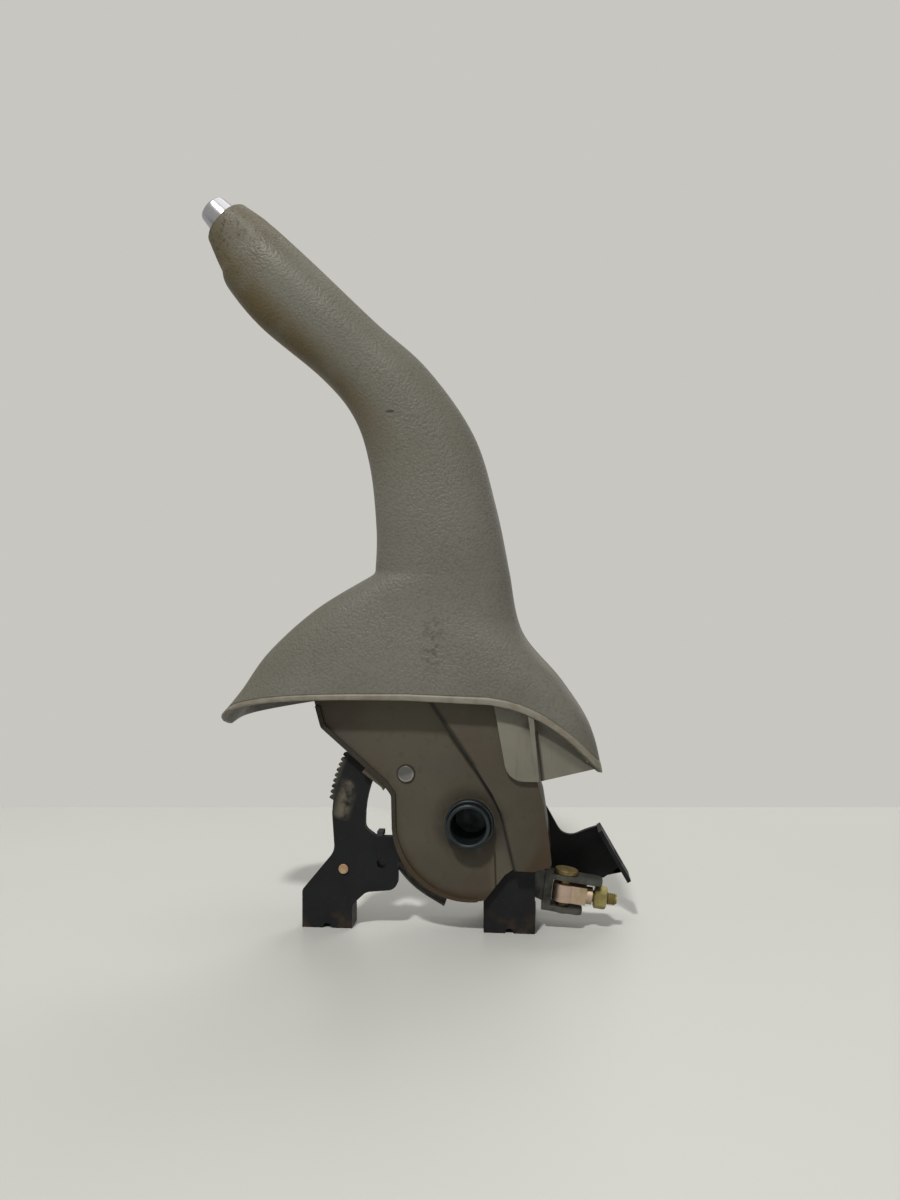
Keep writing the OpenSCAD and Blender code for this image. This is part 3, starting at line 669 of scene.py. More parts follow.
# %% [markdown]
# ## Grained vinyl
# The cover is warm grey vinyl with a fine pebble grain pressed in by the
# mould. Soft cells about a millimetre wide, pushed about by noise, give the
# grain. Handling has polished it in patches.

# %% Vinyl grain and colour
GRAIN, GRAIN_WOBBLE, GRAIN_REACH = 880, 380, 0.0012
SKIRT_HEIGHT, GRIP_HEIGHT = 0.17, 0.3

vinyl = Finish("grained_vinyl", roughness=0.55)
pebble = vinyl.cells(GRAIN, vinyl.wandering(GRAIN_WOBBLE, GRAIN_REACH))
patch = vinyl.noise(20, 4)
height = vinyl.between(vinyl.along((0, 0, 1)), SKIRT_HEIGHT, GRIP_HEIGHT)
warm = vinyl.blend(height, (106, 104, 97), (101, 99, 89))
clean = vinyl.mix(vinyl.between(patch, 0.35, 0.7), warm, screen_colour(98, 96, 87))
handled = vinyl.patches(26, 2, 0.1, 0.65)
raised = vinyl.times(vinyl.maths("SUBTRACT", 1.0, pebble), handled)
waves = vinyl.bump(vinyl.noise(150, 3), 0.0005, 0.12)
vinyl.set("Normal", vinyl.bump(raised, 0.0005, 0.6, under=waves))
vinyl.set("Roughness", vinyl.between(patch, -0.6, 1.7))
vinyl.set("Specular IOR Level", 0.26)
print("grain nodes:", len(vinyl.nodes))

# %% [markdown]
# ## Soil on the vinyl
# Hands have browned the cover near the button and along the front of the grip,
# and it has a few scuffs, a nick on the bend and a smudge on the skirt. Each
# mark is a mask, measured from a place on the cover and broken up by noise,
# through which a colour is laid over what lies under it.

# %% Soil and scuffs
GRIP_END = (PIVOT + side_view(moved(BEND, GRIP_LENGTH, GRIP_ANGLE))) * MM
GRIP_FRONT = side_view(polar(1, GRIP_ANGLE + 90))
front_zero = GRIP_END.dot(GRIP_FRONT)
# Distances from the grip's end where each mark starts and is full
HAND_REACH, END_REACH, SPECK_REACH = (0.17, 0.09), (0.06, 0.016), (0.05, 0.018)
SMUDGE_AT, SMUDGE_REACH = Vector((9, -30, 141)) * MM, (0.008, 0.001)
NICK_AT, NICK_REACH = Vector((-12.3, -28, 253.4)) * MM, (0.0014, 0.0007)

from_end = vinyl.away_from(GRIP_END)
cloud = vinyl.patches(45, 5, 0.14, 0.52)
front_edge = vinyl.between(vinyl.along(GRIP_FRONT), front_zero + 0.003, front_zero + 0.018)
hand_soil = vinyl.times(vinyl.between(from_end, *HAND_REACH), front_edge, cloud)
soiled = vinyl.stain(clean, hand_soil, 0.85, (84, 71, 40))
end_soil = vinyl.times(vinyl.between(from_end, *END_REACH), vinyl.patches(70, 5, 0.16, 0.62))
browned = vinyl.stain(soiled, end_soil, 0.8, (84, 76, 56))
speck = vinyl.times(vinyl.between(from_end, *SPECK_REACH), vinyl.patches(420, 3, 0.57, 0.67))
specked = vinyl.stain(browned, speck, 0.7, (46, 40, 29))
smudge = vinyl.times(
    vinyl.between(vinyl.away_from(SMUDGE_AT, (1, 0, 0.36)), *SMUDGE_REACH),
    vinyl.patches(420, 4, 0.4, 0.62))
smudged = vinyl.stain(specked, smudge, 0.6, (72, 65, 48))
nick = vinyl.between(vinyl.away_from(NICK_AT, (0.5, 0.2, 1.6)), *NICK_REACH)
nicked = vinyl.stain(smudged, nick, 0.8, (42, 39, 32))
scuff = vinyl.between(vinyl.noise(90, 6, (1.0, 1.0, 0.4)), 0.68, 0.77)
scuffed = vinyl.stain(nicked, scuff, 0.4, (82, 74, 58))
valley = vinyl.between(pebble, 0.3, 0.7)
vinyl.set("Base Color", vinyl.stain(scuffed, valley, 0.2, (64, 61, 52)))
print("vinyl nodes:", len(vinyl.nodes))

# %% [markdown]
# ## Finishes on the cover
# The border is smooth and a little lighter, with brown traces. The skin was
# extruded ring by ring, so its faces lie in order, a row at a time, and the
# rows of the border are found by counting.

# %% Border finish and cover
border_vinyl = Finish("smooth_border", roughness=0.5)
border_vinyl.set("Base Color", border_vinyl.blend(
    border_vinyl.patches(120, 4, 0.4, 0.68), (119, 116, 104), (106, 97, 83)))
border_vinyl.set("Normal", border_vinyl.bump(border_vinyl.noise(600, 2), 0.0001, 0.3))

cover.data.materials.append(vinyl.material)
cover.data.materials.append(border_vinyl.material)
first_border = len(passage) + len(lip) + len(outside)
for face in cover.data.polygons:
    row = face.index // COVER_SIDES
    if first_border < row + 1 < first_border + len(border):
        face.material_index = 1
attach(cover, "lever")
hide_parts("grip_cover")
print("border faces:", sum(face.material_index for face in cover.data.polygons))

# %% [markdown]
# ## Softened copies of the steel
# Stamped and turned steel has no razor edges: the die rounds one side and the
# tumbling barrel the other. A copy of each CAD piece is merged, its flats are
# joined into single faces, and a Bevel rounds whatever stays sharp. Weighted
# normals keep the flats flat next to the rounded edges.


# %% Soften a CAD piece
WELD = 2e-6
FLAT, SHARP = 0.6, 32


def pick(piece, kind, wanted):
    """Enter edit mode with the wanted edges or faces selected."""
    make_active(piece)
    bpy.ops.object.mode_set(mode="EDIT")
    bpy.ops.mesh.select_mode(type=kind)
    bpy.ops.mesh.select_all(action="DESELECT")
    mesh = bmesh.from_edit_mesh(piece.data)
    picked = [part for part in (mesh.edges if kind == "EDGE" else mesh.faces) if wanted(part)]
    for part in picked:
        part.select_set(True)
    bmesh.update_edit_mesh(piece.data)
    print(piece.name, "picked:", len(picked))


def leave_edit():
    """Go back to object mode with vertices as the select mode."""
    bpy.ops.mesh.select_mode(type="VERT")
    bpy.ops.object.mode_set(mode="OBJECT")


def round_edges(piece, width, steps):
    """Round a piece's sharp edges, to a width in mm."""
    bevel = piece.modifiers.new("rounded_edges", "BEVEL")
    bevel.width = width * MM
    bevel.segments = steps
    bevel.limit_method = "ANGLE"
    bevel.angle_limit = math.radians(SHARP)
    apply_modifiers(piece)
    smooth(piece, SHARP)


def softened(node, name, edge, finish, steps=2, is_formed=None, radius=2.0):
    """A copy of a CAD node with rounded edges and a finish, in its place.

    Edges that a press forms over, told by their ends in mm, get a radius first.
    """
    source = frame["nodes"][node]
    piece = bpy.data.objects.new(name, source.data.copy())
    bpy.context.scene.collection.objects.link(piece)
    piece.data.materials.clear()
    make_active(piece)
    bpy.ops.object.mode_set(mode="EDIT")
    bpy.ops.mesh.select_all(action="SELECT")
    bpy.ops.mesh.remove_doubles(threshold=WELD)
    bpy.ops.mesh.dissolve_limited(angle_limit=math.radians(FLAT))
    bpy.ops.object.mode_set(mode="OBJECT")
    if is_formed:
        pick(piece, "EDGE", lambda line: is_formed(*[v.co / MM for v in line.verts]))
        bpy.ops.mesh.bevel(offset=radius * MM, segments=4, affect="EDGES", clamp_overlap=True)
        leave_edit()
    round_edges(piece, edge, steps)
    piece.modifiers.new("flat_faces", "WEIGHTED_NORMAL").keep_sharp = True
    apply_modifiers(piece)
    piece.data.materials.append(finish.material)
    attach(piece, source["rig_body"])
    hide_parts(node)
    print(name, "faces:", face_count(piece))
    return piece


print("CAD nodes still shown:", sum(not o.hide_render for o in frame["nodes"].values()))

# %% [markdown]
# ## Marks along a line
# Painted shade and grime lie along creases and steps, a painted shadow lies
# under the skirt's rim, and paint rubs off in streaks, with a painted sheen.
# One mask serves them all: it is 1 on a straight line of the side view and
# fades to 0 beside the line and past its ends.

# %% Line mask
PIVOT_M = PIVOT * MM
END_FADE, END_FULL = 0.002, 0.001


def near_line(finish, start, end, inner, outer):
    """1 within a distance of a line in mm from the pivot, 0 beyond another."""
    begin = PIVOT_M + side_view(start) * MM
    run = (side_view(end) - side_view(start)) * MM
    length = run.length
    run.normalize()
    square = Vector((run.z, 0, -run.x))
    beside = finish.maths("SUBTRACT", finish.along(square), begin.dot(square))
    past = finish.maths("SUBTRACT", finish.along(run), begin.dot(run))
    return finish.times(
        finish.between(finish.maths("ABSOLUTE", beside, 0.0), outer * MM, inner * MM),
        finish.between(past, -END_FADE, END_FULL),
        finish.between(past, length + END_FADE, length - END_FULL))


print("line mask ready, pivot at", tuple(PIVOT_M))

# %% [markdown]
# ## Dull lever steel
# The lever is pressed from bare sheet and has never been painted. Oil and dust
# have dried on it to a brown-grey film, with warmer and cooler patches, and it
# shines softly where the film is thin.

# %% Film on the lever
steel = Finish("dull_lever_steel", roughness=0.5, metallic=0.2)
film = steel.noise(14, 5)
fine = steel.noise(260, 4)
bare = steel.blend(steel.between(film, 0.3, 0.7), (81, 76, 64), (64, 60, 50))
speckled = steel.stain(bare, steel.between(fine, 0.56, 0.72), 0.25, (58, 50, 39))
tint = steel.patches(26, 5, 0.47, 0.66)
tinted = steel.stain(speckled, tint, 0.55, (76, 64, 54))
haze = steel.patches(41, 4, 0.53, 0.66)
hazy = steel.stain(tinted, haze, 0.5, (74, 69, 66))
steel.set("Roughness", steel.between(film, -0.7, 1.6))
steel.set("Specular IOR Level", 0.3)
steel.set("Normal", steel.bump(fine, 0.0002, 0.1))
print("film nodes:", len(steel.nodes))

# %% [markdown]
# ## Grime and painted shade on the lever
# The film is darkest inside the rolled lip at the lobe and round the pivot.
# A dark ring round the spacer rivet is painted shade where its head meets the
# wall, with grime. A line of painted shade with grime runs along the step to
# the raised spine, and the turned edge of the near wall is darker low down.
# A facet below the step is painted lighter, as painted light on a fold facet,
# beside a fine crease drawn as a dark line of painted shade with grime.

# %% Grime and painted shade on the lever
# The line where the wall steps out to the raised spine, in mm from the pivot
STEP_LINE = [(-21, 62), (-18.5, 57.7), (-8.8, 43.3), (2.3, 28),
             (11, 15.2), (15.3, 5.2), (18.7, -10.1), (22, -23)]
# How far out from the frame's middle plane the lip of the near wall lies
LIP_FROM, LIP_TO, LIP_FADE = 24.5 * MM, 25.8 * MM, 0.4 * MM
# The middle and the head of the spacer rivet
RIVET_AT, RIVET_R = PIVOT_M + Vector((-31, 0, 23.4)) * MM, 4 * MM
LOBE_LIP, OIL_RING = (0.032, 0.0365), (0.021, 0.012)
FACET_AT, FACET_REACH = PIVOT_M + Vector((16, 0, -24)) * MM, (0.012, 0.006)
CREASE = ((12.2, -14), (12.8, -33))

from_pivot = steel.away_from(PIVOT_M, (1, 0, 1))
height = steel.along((0, 0, 1))
lip_grime = steel.times(
    steel.between(from_pivot, *LOBE_LIP), steel.between(height, 0.075, 0.03),
    steel.patches(60, 4, 0.25, 0.55))
grimy = steel.stain(hazy, lip_grime, 0.8, (60, 46, 29))
oil_ring = steel.times(steel.between(from_pivot, *OIL_RING), steel.patches(90, 4, 0.25, 0.55))
oily = steel.stain(grimy, oil_ring, 0.75, (40, 35, 28))
# Painted light: the facet below the step is painted lighter, as a fold facet catching the lamps.
facet = steel.between(steel.away_from(FACET_AT, (1.6, 0, 0.8)), *FACET_REACH)
facet_painted_light = steel.stain(oily, facet, 0.35, (98, 93, 76))
# A dark line of painted shade, with grime, along the fold of the crease.
crease_shaded = steel.stain(facet_painted_light, near_line(steel, *CREASE, 0.15, 0.8), 0.85, (36, 28, 18))
# Painted shade, with grime, along the step up to the raised spine.
step_shade_and_grime = near_line(steel, STEP_LINE[0], STEP_LINE[3], 0.5, 2.2)
for start, end in ((STEP_LINE[3], STEP_LINE[5]), (STEP_LINE[5], STEP_LINE[7])):
    lower_step_shade_and_grime = near_line(steel, start, end, 0.2, 1.6)
    step_shade_and_grime = steel.maths("MAXIMUM", step_shade_and_grime, lower_step_shade_and_grime)
step_shaded = steel.stain(crease_shaded, step_shade_and_grime, 0.9, (30, 27, 22))
# Darker on the turned edge of the near wall, low down.
out = steel.along((0, -1, 0))
on_lip = steel.times(
    steel.between(out, LIP_FROM, LIP_FROM + LIP_FADE),
    steel.between(out, LIP_TO + LIP_FADE, LIP_TO), steel.between(height, 0.03, 0.055))
edged = steel.stain(step_shaded, on_lip, 0.75, (34, 31, 26))
# A dark ring round the spacer rivet: painted shade where the head meets the wall, with grime.
from_rivet = steel.away_from(RIVET_AT, (1, 0, 1))
rivet_ring_shade_and_grime = steel.between(from_rivet, RIVET_R + 1.1 * MM, RIVET_R + 0.3 * MM)
steel.set("Base Color", steel.stain(edged, rivet_ring_shade_and_grime, 0.75, (36, 32, 26)))
print("lever nodes:", len(steel.nodes))

# %% [markdown]
# ## The lever
# A press draws the step to the spine over a wide radius. The edges along the
# step are found by their places and rounded first; the rest get the fine edge
# of cut sheet.

# %% Lever
SPINE_HALF = 19
ON_FACE, ON_STEP = 0.05, 0.6


def on_step(first, second):
    """An edge of the raised spine's face along the step, in mm."""
    for point in (first, second):
        if abs(abs(point.y - PIVOT.y) - SPINE_HALF) > ON_FACE:
            return False
        place = point - PIVOT
        if min(math.hypot(place.x - x, place.z - z) for x, z in STEP_LINE) > ON_STEP:
            return False
    return True


softened("lever_body", "lever_shell", 0.4, steel, 3, on_step, 2.4)

# %% [markdown]
# ## The tab on the front edge
# A small ear of the near wall shows below its front edge, in front of the
# toothed sector. It is a flat strip with a turned-down end: a cube is scaled to
# the strip, its end face is extruded and lowered, and a Bevel rounds it.

# %% Front edge tab
TAB_MIDDLE = Vector((-20.9, -23.3, 75.7)) * MM
TAB_LENGTH, TAB_THICK, TAB_DEEP = 12.0, 1.3, 4.0
TAB_SLOPE = math.radians(36.5)
TAB_HOOK, TAB_DROP, TAB_EDGE = 1.8, 0.8, 0.35
TAB_ORDER = Vector((1, 100, 10000))

clear_selection()
bpy.ops.mesh.primitive_cube_add(size=1)
tab = bpy.context.object
tab.name = "front_edge_tab"
tab.data.name = "front_edge_tab"
tab.scale = (TAB_LENGTH * MM, TAB_THICK * MM, TAB_DEEP * MM)
bpy.ops.object.transform_apply(location=False, rotation=False, scale=True)
pick(tab, "FACE", lambda face: face.normal.x > 0.9)
bpy.ops.mesh.extrude_region_move(
    TRANSFORM_OT_translate={"value": (TAB_HOOK * MM, 0, -TAB_DROP * MM)})
put_in_order(tab, lambda vertex: vertex.co.dot(TAB_ORDER))
leave_edit()
tab.location = TAB_MIDDLE
tab.rotation_euler = (0, TAB_SLOPE, 0)
bpy.ops.object.transform_apply(location=True, rotation=True, scale=True)
round_edges(tab, TAB_EDGE, 3)
tab.data.materials.append(steel.material)
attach(tab, "lever")
print("tab faces:", face_count(tab))

# %% [markdown]
# ## The saddle under the skirt
# A stiff moulding under the skirt grips the lever with a tongue, a rib and a
# web on each side. It is the cover's colour but smooth, with fine scratches
# along the tongue where it was pushed on. The groove behind the rib is painted
# dark as painted shade, and a band under the rim is the rim's painted shadow.

# %% Saddle finish
RIB_LINE, RIM_LINE = ((32.4, 46), (35.6, 21)), ((28, 49), (62, 26))
RIB_DEPTH = (0.0222, 0.0217)

plastic = Finish("smooth_saddle_plastic", roughness=0.5)
bloom = plastic.noise(40, 4)
scratch = plastic.noise(500, 4, (1.0, 1.0, 0.06))
faded = plastic.blend(plastic.between(bloom, 0.3, 0.7), (115, 112, 101), (102, 99, 88))
scratched = plastic.stain(faded, plastic.between(scratch, 0.6, 0.72), 0.45, (82, 77, 66))
# Painted shade in the groove behind the rib, and the rim's painted shadow on the web.
rib_groove_shade = near_line(plastic, *RIB_LINE, 0.3, 1.4)
behind_rib = plastic.between(plastic.away_from(PIVOT_M, (0, 1, 0)), *RIB_DEPTH)
rim_shadow = plastic.times(near_line(plastic, *RIM_LINE, 1.5, 5.5), behind_rib)
groove_and_rim_shade = plastic.maths(
    "MAXIMUM", plastic.times(rib_groove_shade, 0.8), plastic.times(rim_shadow, 0.4))
plastic.set("Base Color", plastic.mix(groove_and_rim_shade, scratched, screen_colour(44, 42, 36)))
plastic.set("Roughness", plastic.between(bloom, -0.8, 1.5))
plastic.set("Normal", plastic.bump(scratch, 0.0001, 0.15))
print("saddle nodes:", len(plastic.nodes))

# %% [markdown]
# ## The saddle's rib
# The rib is a wedge: its upper end is drawn out to meet the rim, and its foot
# is trimmed narrow. Only the vertices on its proud face are moved.

# %% Saddle
RIB_FACE, RIB_MIDDLE, RIB_REAR = 22.0, 40.0, 34.0
RIB_FORWARD, RIB_RISE, RIB_DROP, RIB_TRIM = 0.5, 4.8, 2.9, 1.8

saddle = softened("cover_saddle", "saddle_strap", 0.4, plastic)
for vertex in saddle.data.vertices:
    place = (vertex.co - PIVOT_M) / MM
    if abs(place.y) < RIB_FACE:
        continue
    if place.z > RIB_MIDDLE:
        place += Vector((-RIB_FORWARD, math.copysign(RIB_RISE, place.y), -RIB_DROP))
    elif place.x > RIB_REAR:
        place.x -= RIB_TRIM
    vertex.co = PIVOT_M + place * MM
saddle.data.update()
print("saddle faces:", face_count(saddle))

# %% [markdown]
# ## Worn black paint
# The floor bracket with its toothed sector is dipped in black paint. The teeth
# and a streak below them are worn back to grey steel, and the streak is also a
# painted sheen of oil. The feet have rusted where they stood on a damp floor
# pan. Distance from the pivot finds the teeth, and height finds the feet.

# %% Bracket finish
TOOTH_RADII, TOOTH_HEIGHTS = (0.0665, 0.0702), (0.056, 0.068)
RUB_LINE, RUB_WIDTH = ((-59.5, 18), (-64.5, 1)), 6.0
RUST_HEIGHT = 0.014

paint = Finish("worn_black_paint", roughness=0.42)
tone = paint.noise(45, 5)
painted = paint.blend(paint.between(tone, 0.35, 0.7), (22, 24, 26), (16, 18, 19))
tooth_band = paint.times(
    paint.between(paint.away_from(PIVOT_M, (1, 0, 1)), *TOOTH_RADII),
    paint.between(paint.along((0, 0, 1)), *TOOTH_HEIGHTS))
# A streak of wear below the teeth, painted lighter also as a painted sheen.
worn_and_sheen_streak = near_line(paint, *RUB_LINE, 0.0, RUB_WIDTH)
wear_and_sheen = paint.times(
    paint.maths("MAXIMUM", paint.times(tooth_band, 0.6), worn_and_sheen_streak),
    paint.patches(190, 6, 0.3, 0.62))
worn_and_sheened = paint.mix(wear_and_sheen, painted, screen_colour(98, 92, 80))
foot_band = paint.between(paint.along((0, 0, 1)), RUST_HEIGHT, 0.0)
rust = paint.times(foot_band, paint.patches(110, 6, 0.44, 0.64))
rusted = paint.stain(worn_and_sheened, rust, 0.65, (62, 49, 38))
dust = paint.patches(300, 5, 0.6, 0.74)
paint.set("Base Color", paint.stain(rusted, dust, 0.2, (60, 57, 50)))
paint.set("Specular IOR Level", 0.2)
paint.set("Roughness", paint.between(tone, -0.6, 1.5))
paint.set("Normal", paint.bump(paint.noise(420, 3), 0.00025, 0.16))
print("paint nodes:", len(paint.nodes))

# %% [markdown]
# ## Floor bracket and rear arm
# The feet are folded out from the plate, so their outer bends are rounder than
# the cut edges. They are found by their places, in millimetres.

# %% Floor bracket and rear arm
PLATE_FACE, FOOT_ENDS, FOOT_EDGE_TOP = -20.0, (-32.5, 57.5), 11.7


def on_foot_bend(first, second):
    """An outer bend line of a foot, in mm: its sole or its rear edge."""
    if max(abs(first.y - PLATE_FACE), abs(second.y - PLATE_FACE)) > ON_FACE:
        return False
    top = max(first.z, second.z)
    at_end = any(abs(first.x - x) + abs(second.x - x) < 2 * ON_FACE for x in FOOT_ENDS)
    return top < ON_FACE or (at_end and top < FOOT_EDGE_TOP)


softened("base_plate", "floor_bracket", 0.4, paint, 2, on_foot_bend, 2.0)
softened("rear_arm", "rear_bracket_arm", 0.45, paint)

# %% [markdown]
# ## Small steel: blued, zinc, yellow zinc and copper
# The pivot is blued spring steel, nearly black with a cold shine. Rivets and
# pins are zinc plated. The cable end is yellow zinc, whose chromate film shows
# faint pink and green and has aged brown on the stud. The leaf spring's rivet
# is copper.


# %% Small metal finishes
# Set the noise at which a film would be a mirror, and how far on it is matt
SHINE_SHIFT, SHINE_SPAN = 2.2, 2.6


def plated(name, main, other, roughness, metallic=1.0, size=140):
    """A plated metal whose film drifts between two colours."""
    finish = Finish(name, roughness, metallic)
    drift = finish.noise(size, 4)
    finish.set("Base Color", finish.blend(finish.between(drift, 0.34, 0.66), main, other))
    smoothest = -roughness * SHINE_SHIFT
    finish.set("Roughness", finish.between(drift, smoothest, smoothest + SHINE_SPAN))
    finish.set("Normal", finish.bump(finish.noise(size * 4, 3), 0.00015, 0.1))
    return finish


blued_steel = plated("blued_pivot_steel", (58, 64, 66), (43, 48, 50), 0.34, 0.85)
bright_zinc = plated("bright_zinc", (112, 111, 108), (96, 94, 90), 0.4, 0.7)
dark_zinc = plated("darkened_zinc", (82, 82, 78), (56, 55, 50), 0.42, 0.6)
yellow_zinc = plated("yellow_zinc", (158, 147, 96), (128, 117, 74), 0.36, 0.8)
aged_zinc = plated("aged_yellow_zinc", (132, 116, 72), (92, 79, 50), 0.36, 0.8)
pink_zinc = plated("pink_yellow_zinc", (190, 166, 152), (160, 146, 108), 0.38, 0.8, 110)
copper = plated("copper_rivet", (196, 170, 138), (168, 136, 104), 0.38, 0.8)
spring_steel = plated("spring_steel", (86, 84, 80), (64, 62, 58), 0.42, 0.7)
print("finishes so far:", len(bpy.data.materials))

# %% [markdown]
# ## Head of the spacer rivet
# The rivet's head is a shallow dish, so its lower edge catches the light. That
# light is painted: a painted highlight makes the zinc lighter on the low side
# and lightest on the turned edge.

# %% Rivet finish
DOWNWARD = Vector((0.35, 0, -1))
rivet_level = RIVET_AT.dot(DOWNWARD)

rivet = Finish("rivet_zinc", roughness=0.42, metallic=0.3)
# Painted highlight on the low side and the turned edge of the head.
low_side = rivet.between(
    rivet.along(DOWNWARD), rivet_level - 0.25 * RIVET_R, rivet_level + 0.5 * RIVET_R)
turned_edge = rivet.between(
    rivet.away_from(RIVET_AT, (1, 0, 1)), 0.68 * RIVET_R, 0.84 * RIVET_R)
dish_painted_light = rivet.blend(low_side, (82, 82, 79), (108, 104, 104))
rivet.set("Base Color", rivet.mix(
    rivet.times(low_side, turned_edge), dish_painted_light, screen_colour(130, 128, 122)))
print("rivet nodes:", len(rivet.nodes))

# %% [markdown]
# ## Pins, rivets, leaf and cable end
# These small pieces are softened copies too. Rivet heads get a wider edge with
# more steps, which leaves them gently domed, as a rivet set leaves them.

# %% Small softened pieces
softened("spacer_rivet", "spacer_rivet_head", 0.6, rivet, steps=4)
softened("pawl_pin_rivet", "pawl_rivet", 0.4, bright_zinc, steps=3)
softened("leaf_rivet", "copper_leaf_rivet", 0.5, copper, steps=4)
softened("spring_leaf", "spring_leaf_strip", 0.2, spring_steel)
softened("pawl", "pawl_tooth", 0.3, spring_steel)
softened("pivot_washer", "pivot_ring", 0.5, blued_steel, steps=3)
softened("pivot_rivet", "pivot_tube", 0.7, blued_steel, steps=4)
softened("cable_yoke", "yoke_stirrup", 0.4, dark_zinc)
softened("swivel_pin", "swivel_stud", 0.5, aged_zinc, steps=3)
softened("swivel_clevis", "clevis_eye", 0.5, pink_zinc, steps=3)
softened("cable_pin", "cable_stub_pin", 0.3, dark_zinc)
softened("pin_clip", "cable_pin_clip", 0.2, spring_steel)
print("finished meshes:", len(bpy.data.meshes))

# %% [markdown]
# ## Button
# The button is turned and polished. A lathe cuts a profile; here the profile
# is a list of distances along the axis and radii, and each becomes a ring.

# %% Button
GRIP_AXIS = side_view(polar(1, GRIP_ANGLE))
BUTTON_R, BUTTON_TIP, BUTTON_OUT, BUTTON_IN = 8.6, 7.3, 11.1, 12.0
BACK_EDGE, CROWN, TIP_EASE = 0.5, 1.5, 0.2
# Depth below the tip and radius of the last rings, which crown the end
CROWN_RINGS = ((0.03, 3.2), (0, 1.6), (0, 0))
ARC_FROM, ARC_TO, ARC_STEPS, TURNED_SIDES = 5, 78, 6, 72

button_profile = [(-BUTTON_IN, 0), (-BUTTON_IN, BUTTON_R - BACK_EDGE)]
button_profile += [(-BUTTON_IN + BACK_EDGE, BUTTON_R), (0, BUTTON_R)]
for step in range(ARC_STEPS + 1):
    wide, out = polar(CROWN, ARC_FROM + (ARC_TO - ARC_FROM) * step / ARC_STEPS)
    button_profile.append((BUTTON_OUT - CROWN + out, BUTTON_TIP - CROWN + TIP_EASE + wide))
button_profile += [(BUTTON_OUT - depth, radius) for depth, radius in CROWN_RINGS]
upright = GRIP_AXIS.cross(ACROSS)
button = skin_rings("push_button", [
    ring_about(GRIP_END + GRIP_AXIS * along * MM, ACROSS, upright, TURNED_SIDES, lambda turn: radius)
    for along, radius in button_profile])
smooth(button, 40)

chrome = Finish("satin_chrome", roughness=0.24, metallic=1.0)
chrome.set("Base Color", chrome.blend(chrome.noise(70, 3), (176, 176, 182), (164, 164, 170)))
chrome.set("Roughness", chrome.patches(500, 4, -0.6, 2.9))
chrome.set("Normal", chrome.bump(chrome.noise(900, 2), 0.00008, 0.08))
button.data.materials.append(chrome.material)
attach(button, "release")
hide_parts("button")
print("button faces:", face_count(button))

# %% [markdown]
# ## Thread of the cable adjuster
# A screw thread is a ridge that climbs round a bar. Rings a tenth of a pitch
# apart, each with its radius rising and falling once round, and each turned a
# little from the last, build it without any cutting.

# %% Threaded rod
SWIVEL = Vector((71.5, -9, 18)) * MM
TILT = math.radians(8)
ROD_AXIS = Vector((math.cos(TILT), 0, -math.sin(TILT)))
ROD_UP = Vector((math.sin(TILT), 0, math.cos(TILT)))
ROD_R, ROD_FROM, ROD_TO, PITCH, THREAD_DEPTH = 3.0, 8.01, 26.01, 1.0, 0.55
ROD_SIDES, RINGS_PER_TURN = 36, 10
END_TAPER, END_CUT, ROOT_EASE = 0.9, 0.6, 0.1


def rod_ring(along, sides, radius_at):
    """A ring round the adjuster's axis."""
    return ring_about(SWIVEL + ROD_AXIS * along * MM, ACROSS, ROD_UP, sides, radius_at)


def thread_radius(along, turn):
    """Radius of the thread at a place along and round the rod."""
    phase = (along / PITCH - turn / (2 * math.pi)) % 1.0
    ridge = 1 - abs(2 * phase - 1)
    fade = min(1.0, max(0.0, (ROD_TO - along) / END_TAPER))
    return ROD_R - THREAD_DEPTH * (1 - ridge) - END_CUT * (1 - fade)


rod_rings = [rod_ring(ROD_FROM, ROD_SIDES, lambda turn: radius)
             for radius in (0.0, ROD_R - ROOT_EASE)]
steps = int((ROD_TO - ROD_FROM) / PITCH * RINGS_PER_TURN)
for step in range(steps + 1):
    along = ROD_FROM + (ROD_TO - ROD_FROM) * step / steps
    rod_rings.append(rod_ring(along, ROD_SIDES, lambda turn: thread_radius(along, turn)))
rod_rings.append(rod_ring(ROD_TO, ROD_SIDES, lambda turn: 0.0))
rod = skin_rings("adjuster_thread", rod_rings)
smooth(rod, 35)
rod.data.materials.append(yellow_zinc.material)
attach(rod, frame["nodes"]["adjuster_rod"]["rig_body"])
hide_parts("adjuster_rod")
print("thread faces:", face_count(rod))

# %% [markdown]
# ## Adjuster nut
# The nut is a hexagon whose corners a cone has trimmed on both sides.

# %% Hexagon nut
NUT_FROM, NUT_TO, NUT_FLATS = 15.0, 21.0, 10.0
NUT_SIDES = 96
NUT_BORE = ROD_R + 0.05
CHAMFER, CHAMFER_STEPS = 0.7, 6
BORE_EDGE, FACE_EASE = 0.3, 0.15


def hexagon(turn, limit):
    """Radius of a hexagon whose corners are trimmed to a limit."""
    nearest = (turn + math.pi / 6) % (math.pi / 3) - math.pi / 6
    return min(limit, NUT_FLATS / 2 / math.cos(nearest))


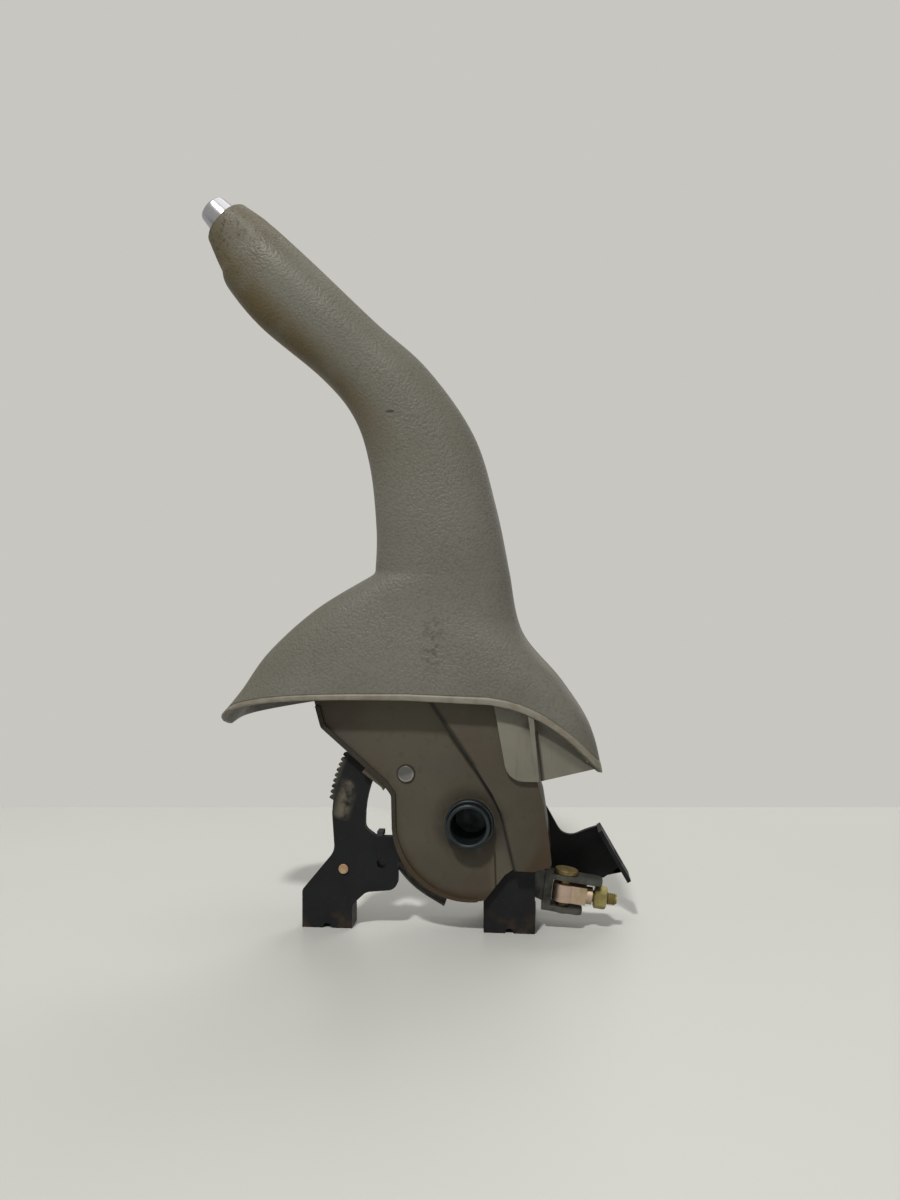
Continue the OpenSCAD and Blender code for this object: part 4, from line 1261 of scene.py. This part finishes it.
FLAT_R, CORNER_R = NUT_FLATS / 2 - FACE_EASE, NUT_FLATS / 2 / math.cos(math.pi / 6)
cone = [(CHAMFER * step / CHAMFER_STEPS, FLAT_R + (CORNER_R - FLAT_R) * step / CHAMFER_STEPS)
        for step in range(CHAMFER_STEPS + 1)]
nut_profile = [(NUT_FROM + BORE_EDGE, NUT_BORE), (NUT_FROM, NUT_BORE + BORE_EDGE)]
nut_profile += [(NUT_FROM + depth, limit) for depth, limit in cone]
nut_profile += [(NUT_TO - depth, limit) for depth, limit in reversed(cone)]
nut_profile += [(NUT_TO, NUT_BORE + BORE_EDGE), (NUT_TO - BORE_EDGE, NUT_BORE), nut_profile[0]]
nut_rings = [rod_ring(along, NUT_SIDES, lambda turn: hexagon(turn, limit))
             for along, limit in nut_profile]
nut = skin_rings("adjuster_hexagon", nut_rings)
smooth(nut, 24)
nut.data.materials.append(yellow_zinc.material)
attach(nut, "nut")
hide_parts("adjuster_nut")
print("nut faces:", face_count(nut))

# %% [markdown]
# ## What stays as CAD
# The parts inside the tube and between the plates have the right shapes
# already, so they only need their finishes: bare tube and rod, nylon guide and
# bushes, rubber stop.


# %% Finishes on the CAD nodes that stay
def moulded(name, main, other, roughness, size):
    """A moulded plastic or rubber with a faint mottling."""
    finish = Finish(name, roughness)
    drift = finish.noise(size, 4)
    finish.set("Base Color", finish.blend(finish.between(drift, 0.35, 0.65), main, other))
    finish.set("Normal", finish.bump(finish.noise(size * 5, 2), 0.0001, 0.2))
    return finish


nylon = moulded("white_nylon", (206, 202, 190), (188, 182, 166), 0.5, 120)
oiled_nylon = moulded("oiled_nylon", (66, 59, 49), (48, 42, 34), 0.45, 160)
rubber = moulded("black_rubber", (34, 34, 34), (24, 24, 24), 0.7, 160)
kept = {
    "grip_tube": steel, "release_rod": spring_steel, "button_spring": spring_steel,
    "rod_guide": nylon, "bush_near": oiled_nylon, "bush_far": oiled_nylon,
    "stop_block": rubber, "pivot_spacer": blued_steel,
}
for node, finish in kept.items():
    shown = frame["nodes"][node]
    shown.data.materials.clear()
    shown.data.materials.append(finish.material)
print("CAD nodes kept:", sorted(kept))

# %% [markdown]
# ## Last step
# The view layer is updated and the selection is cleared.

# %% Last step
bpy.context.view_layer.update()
clear_selection()
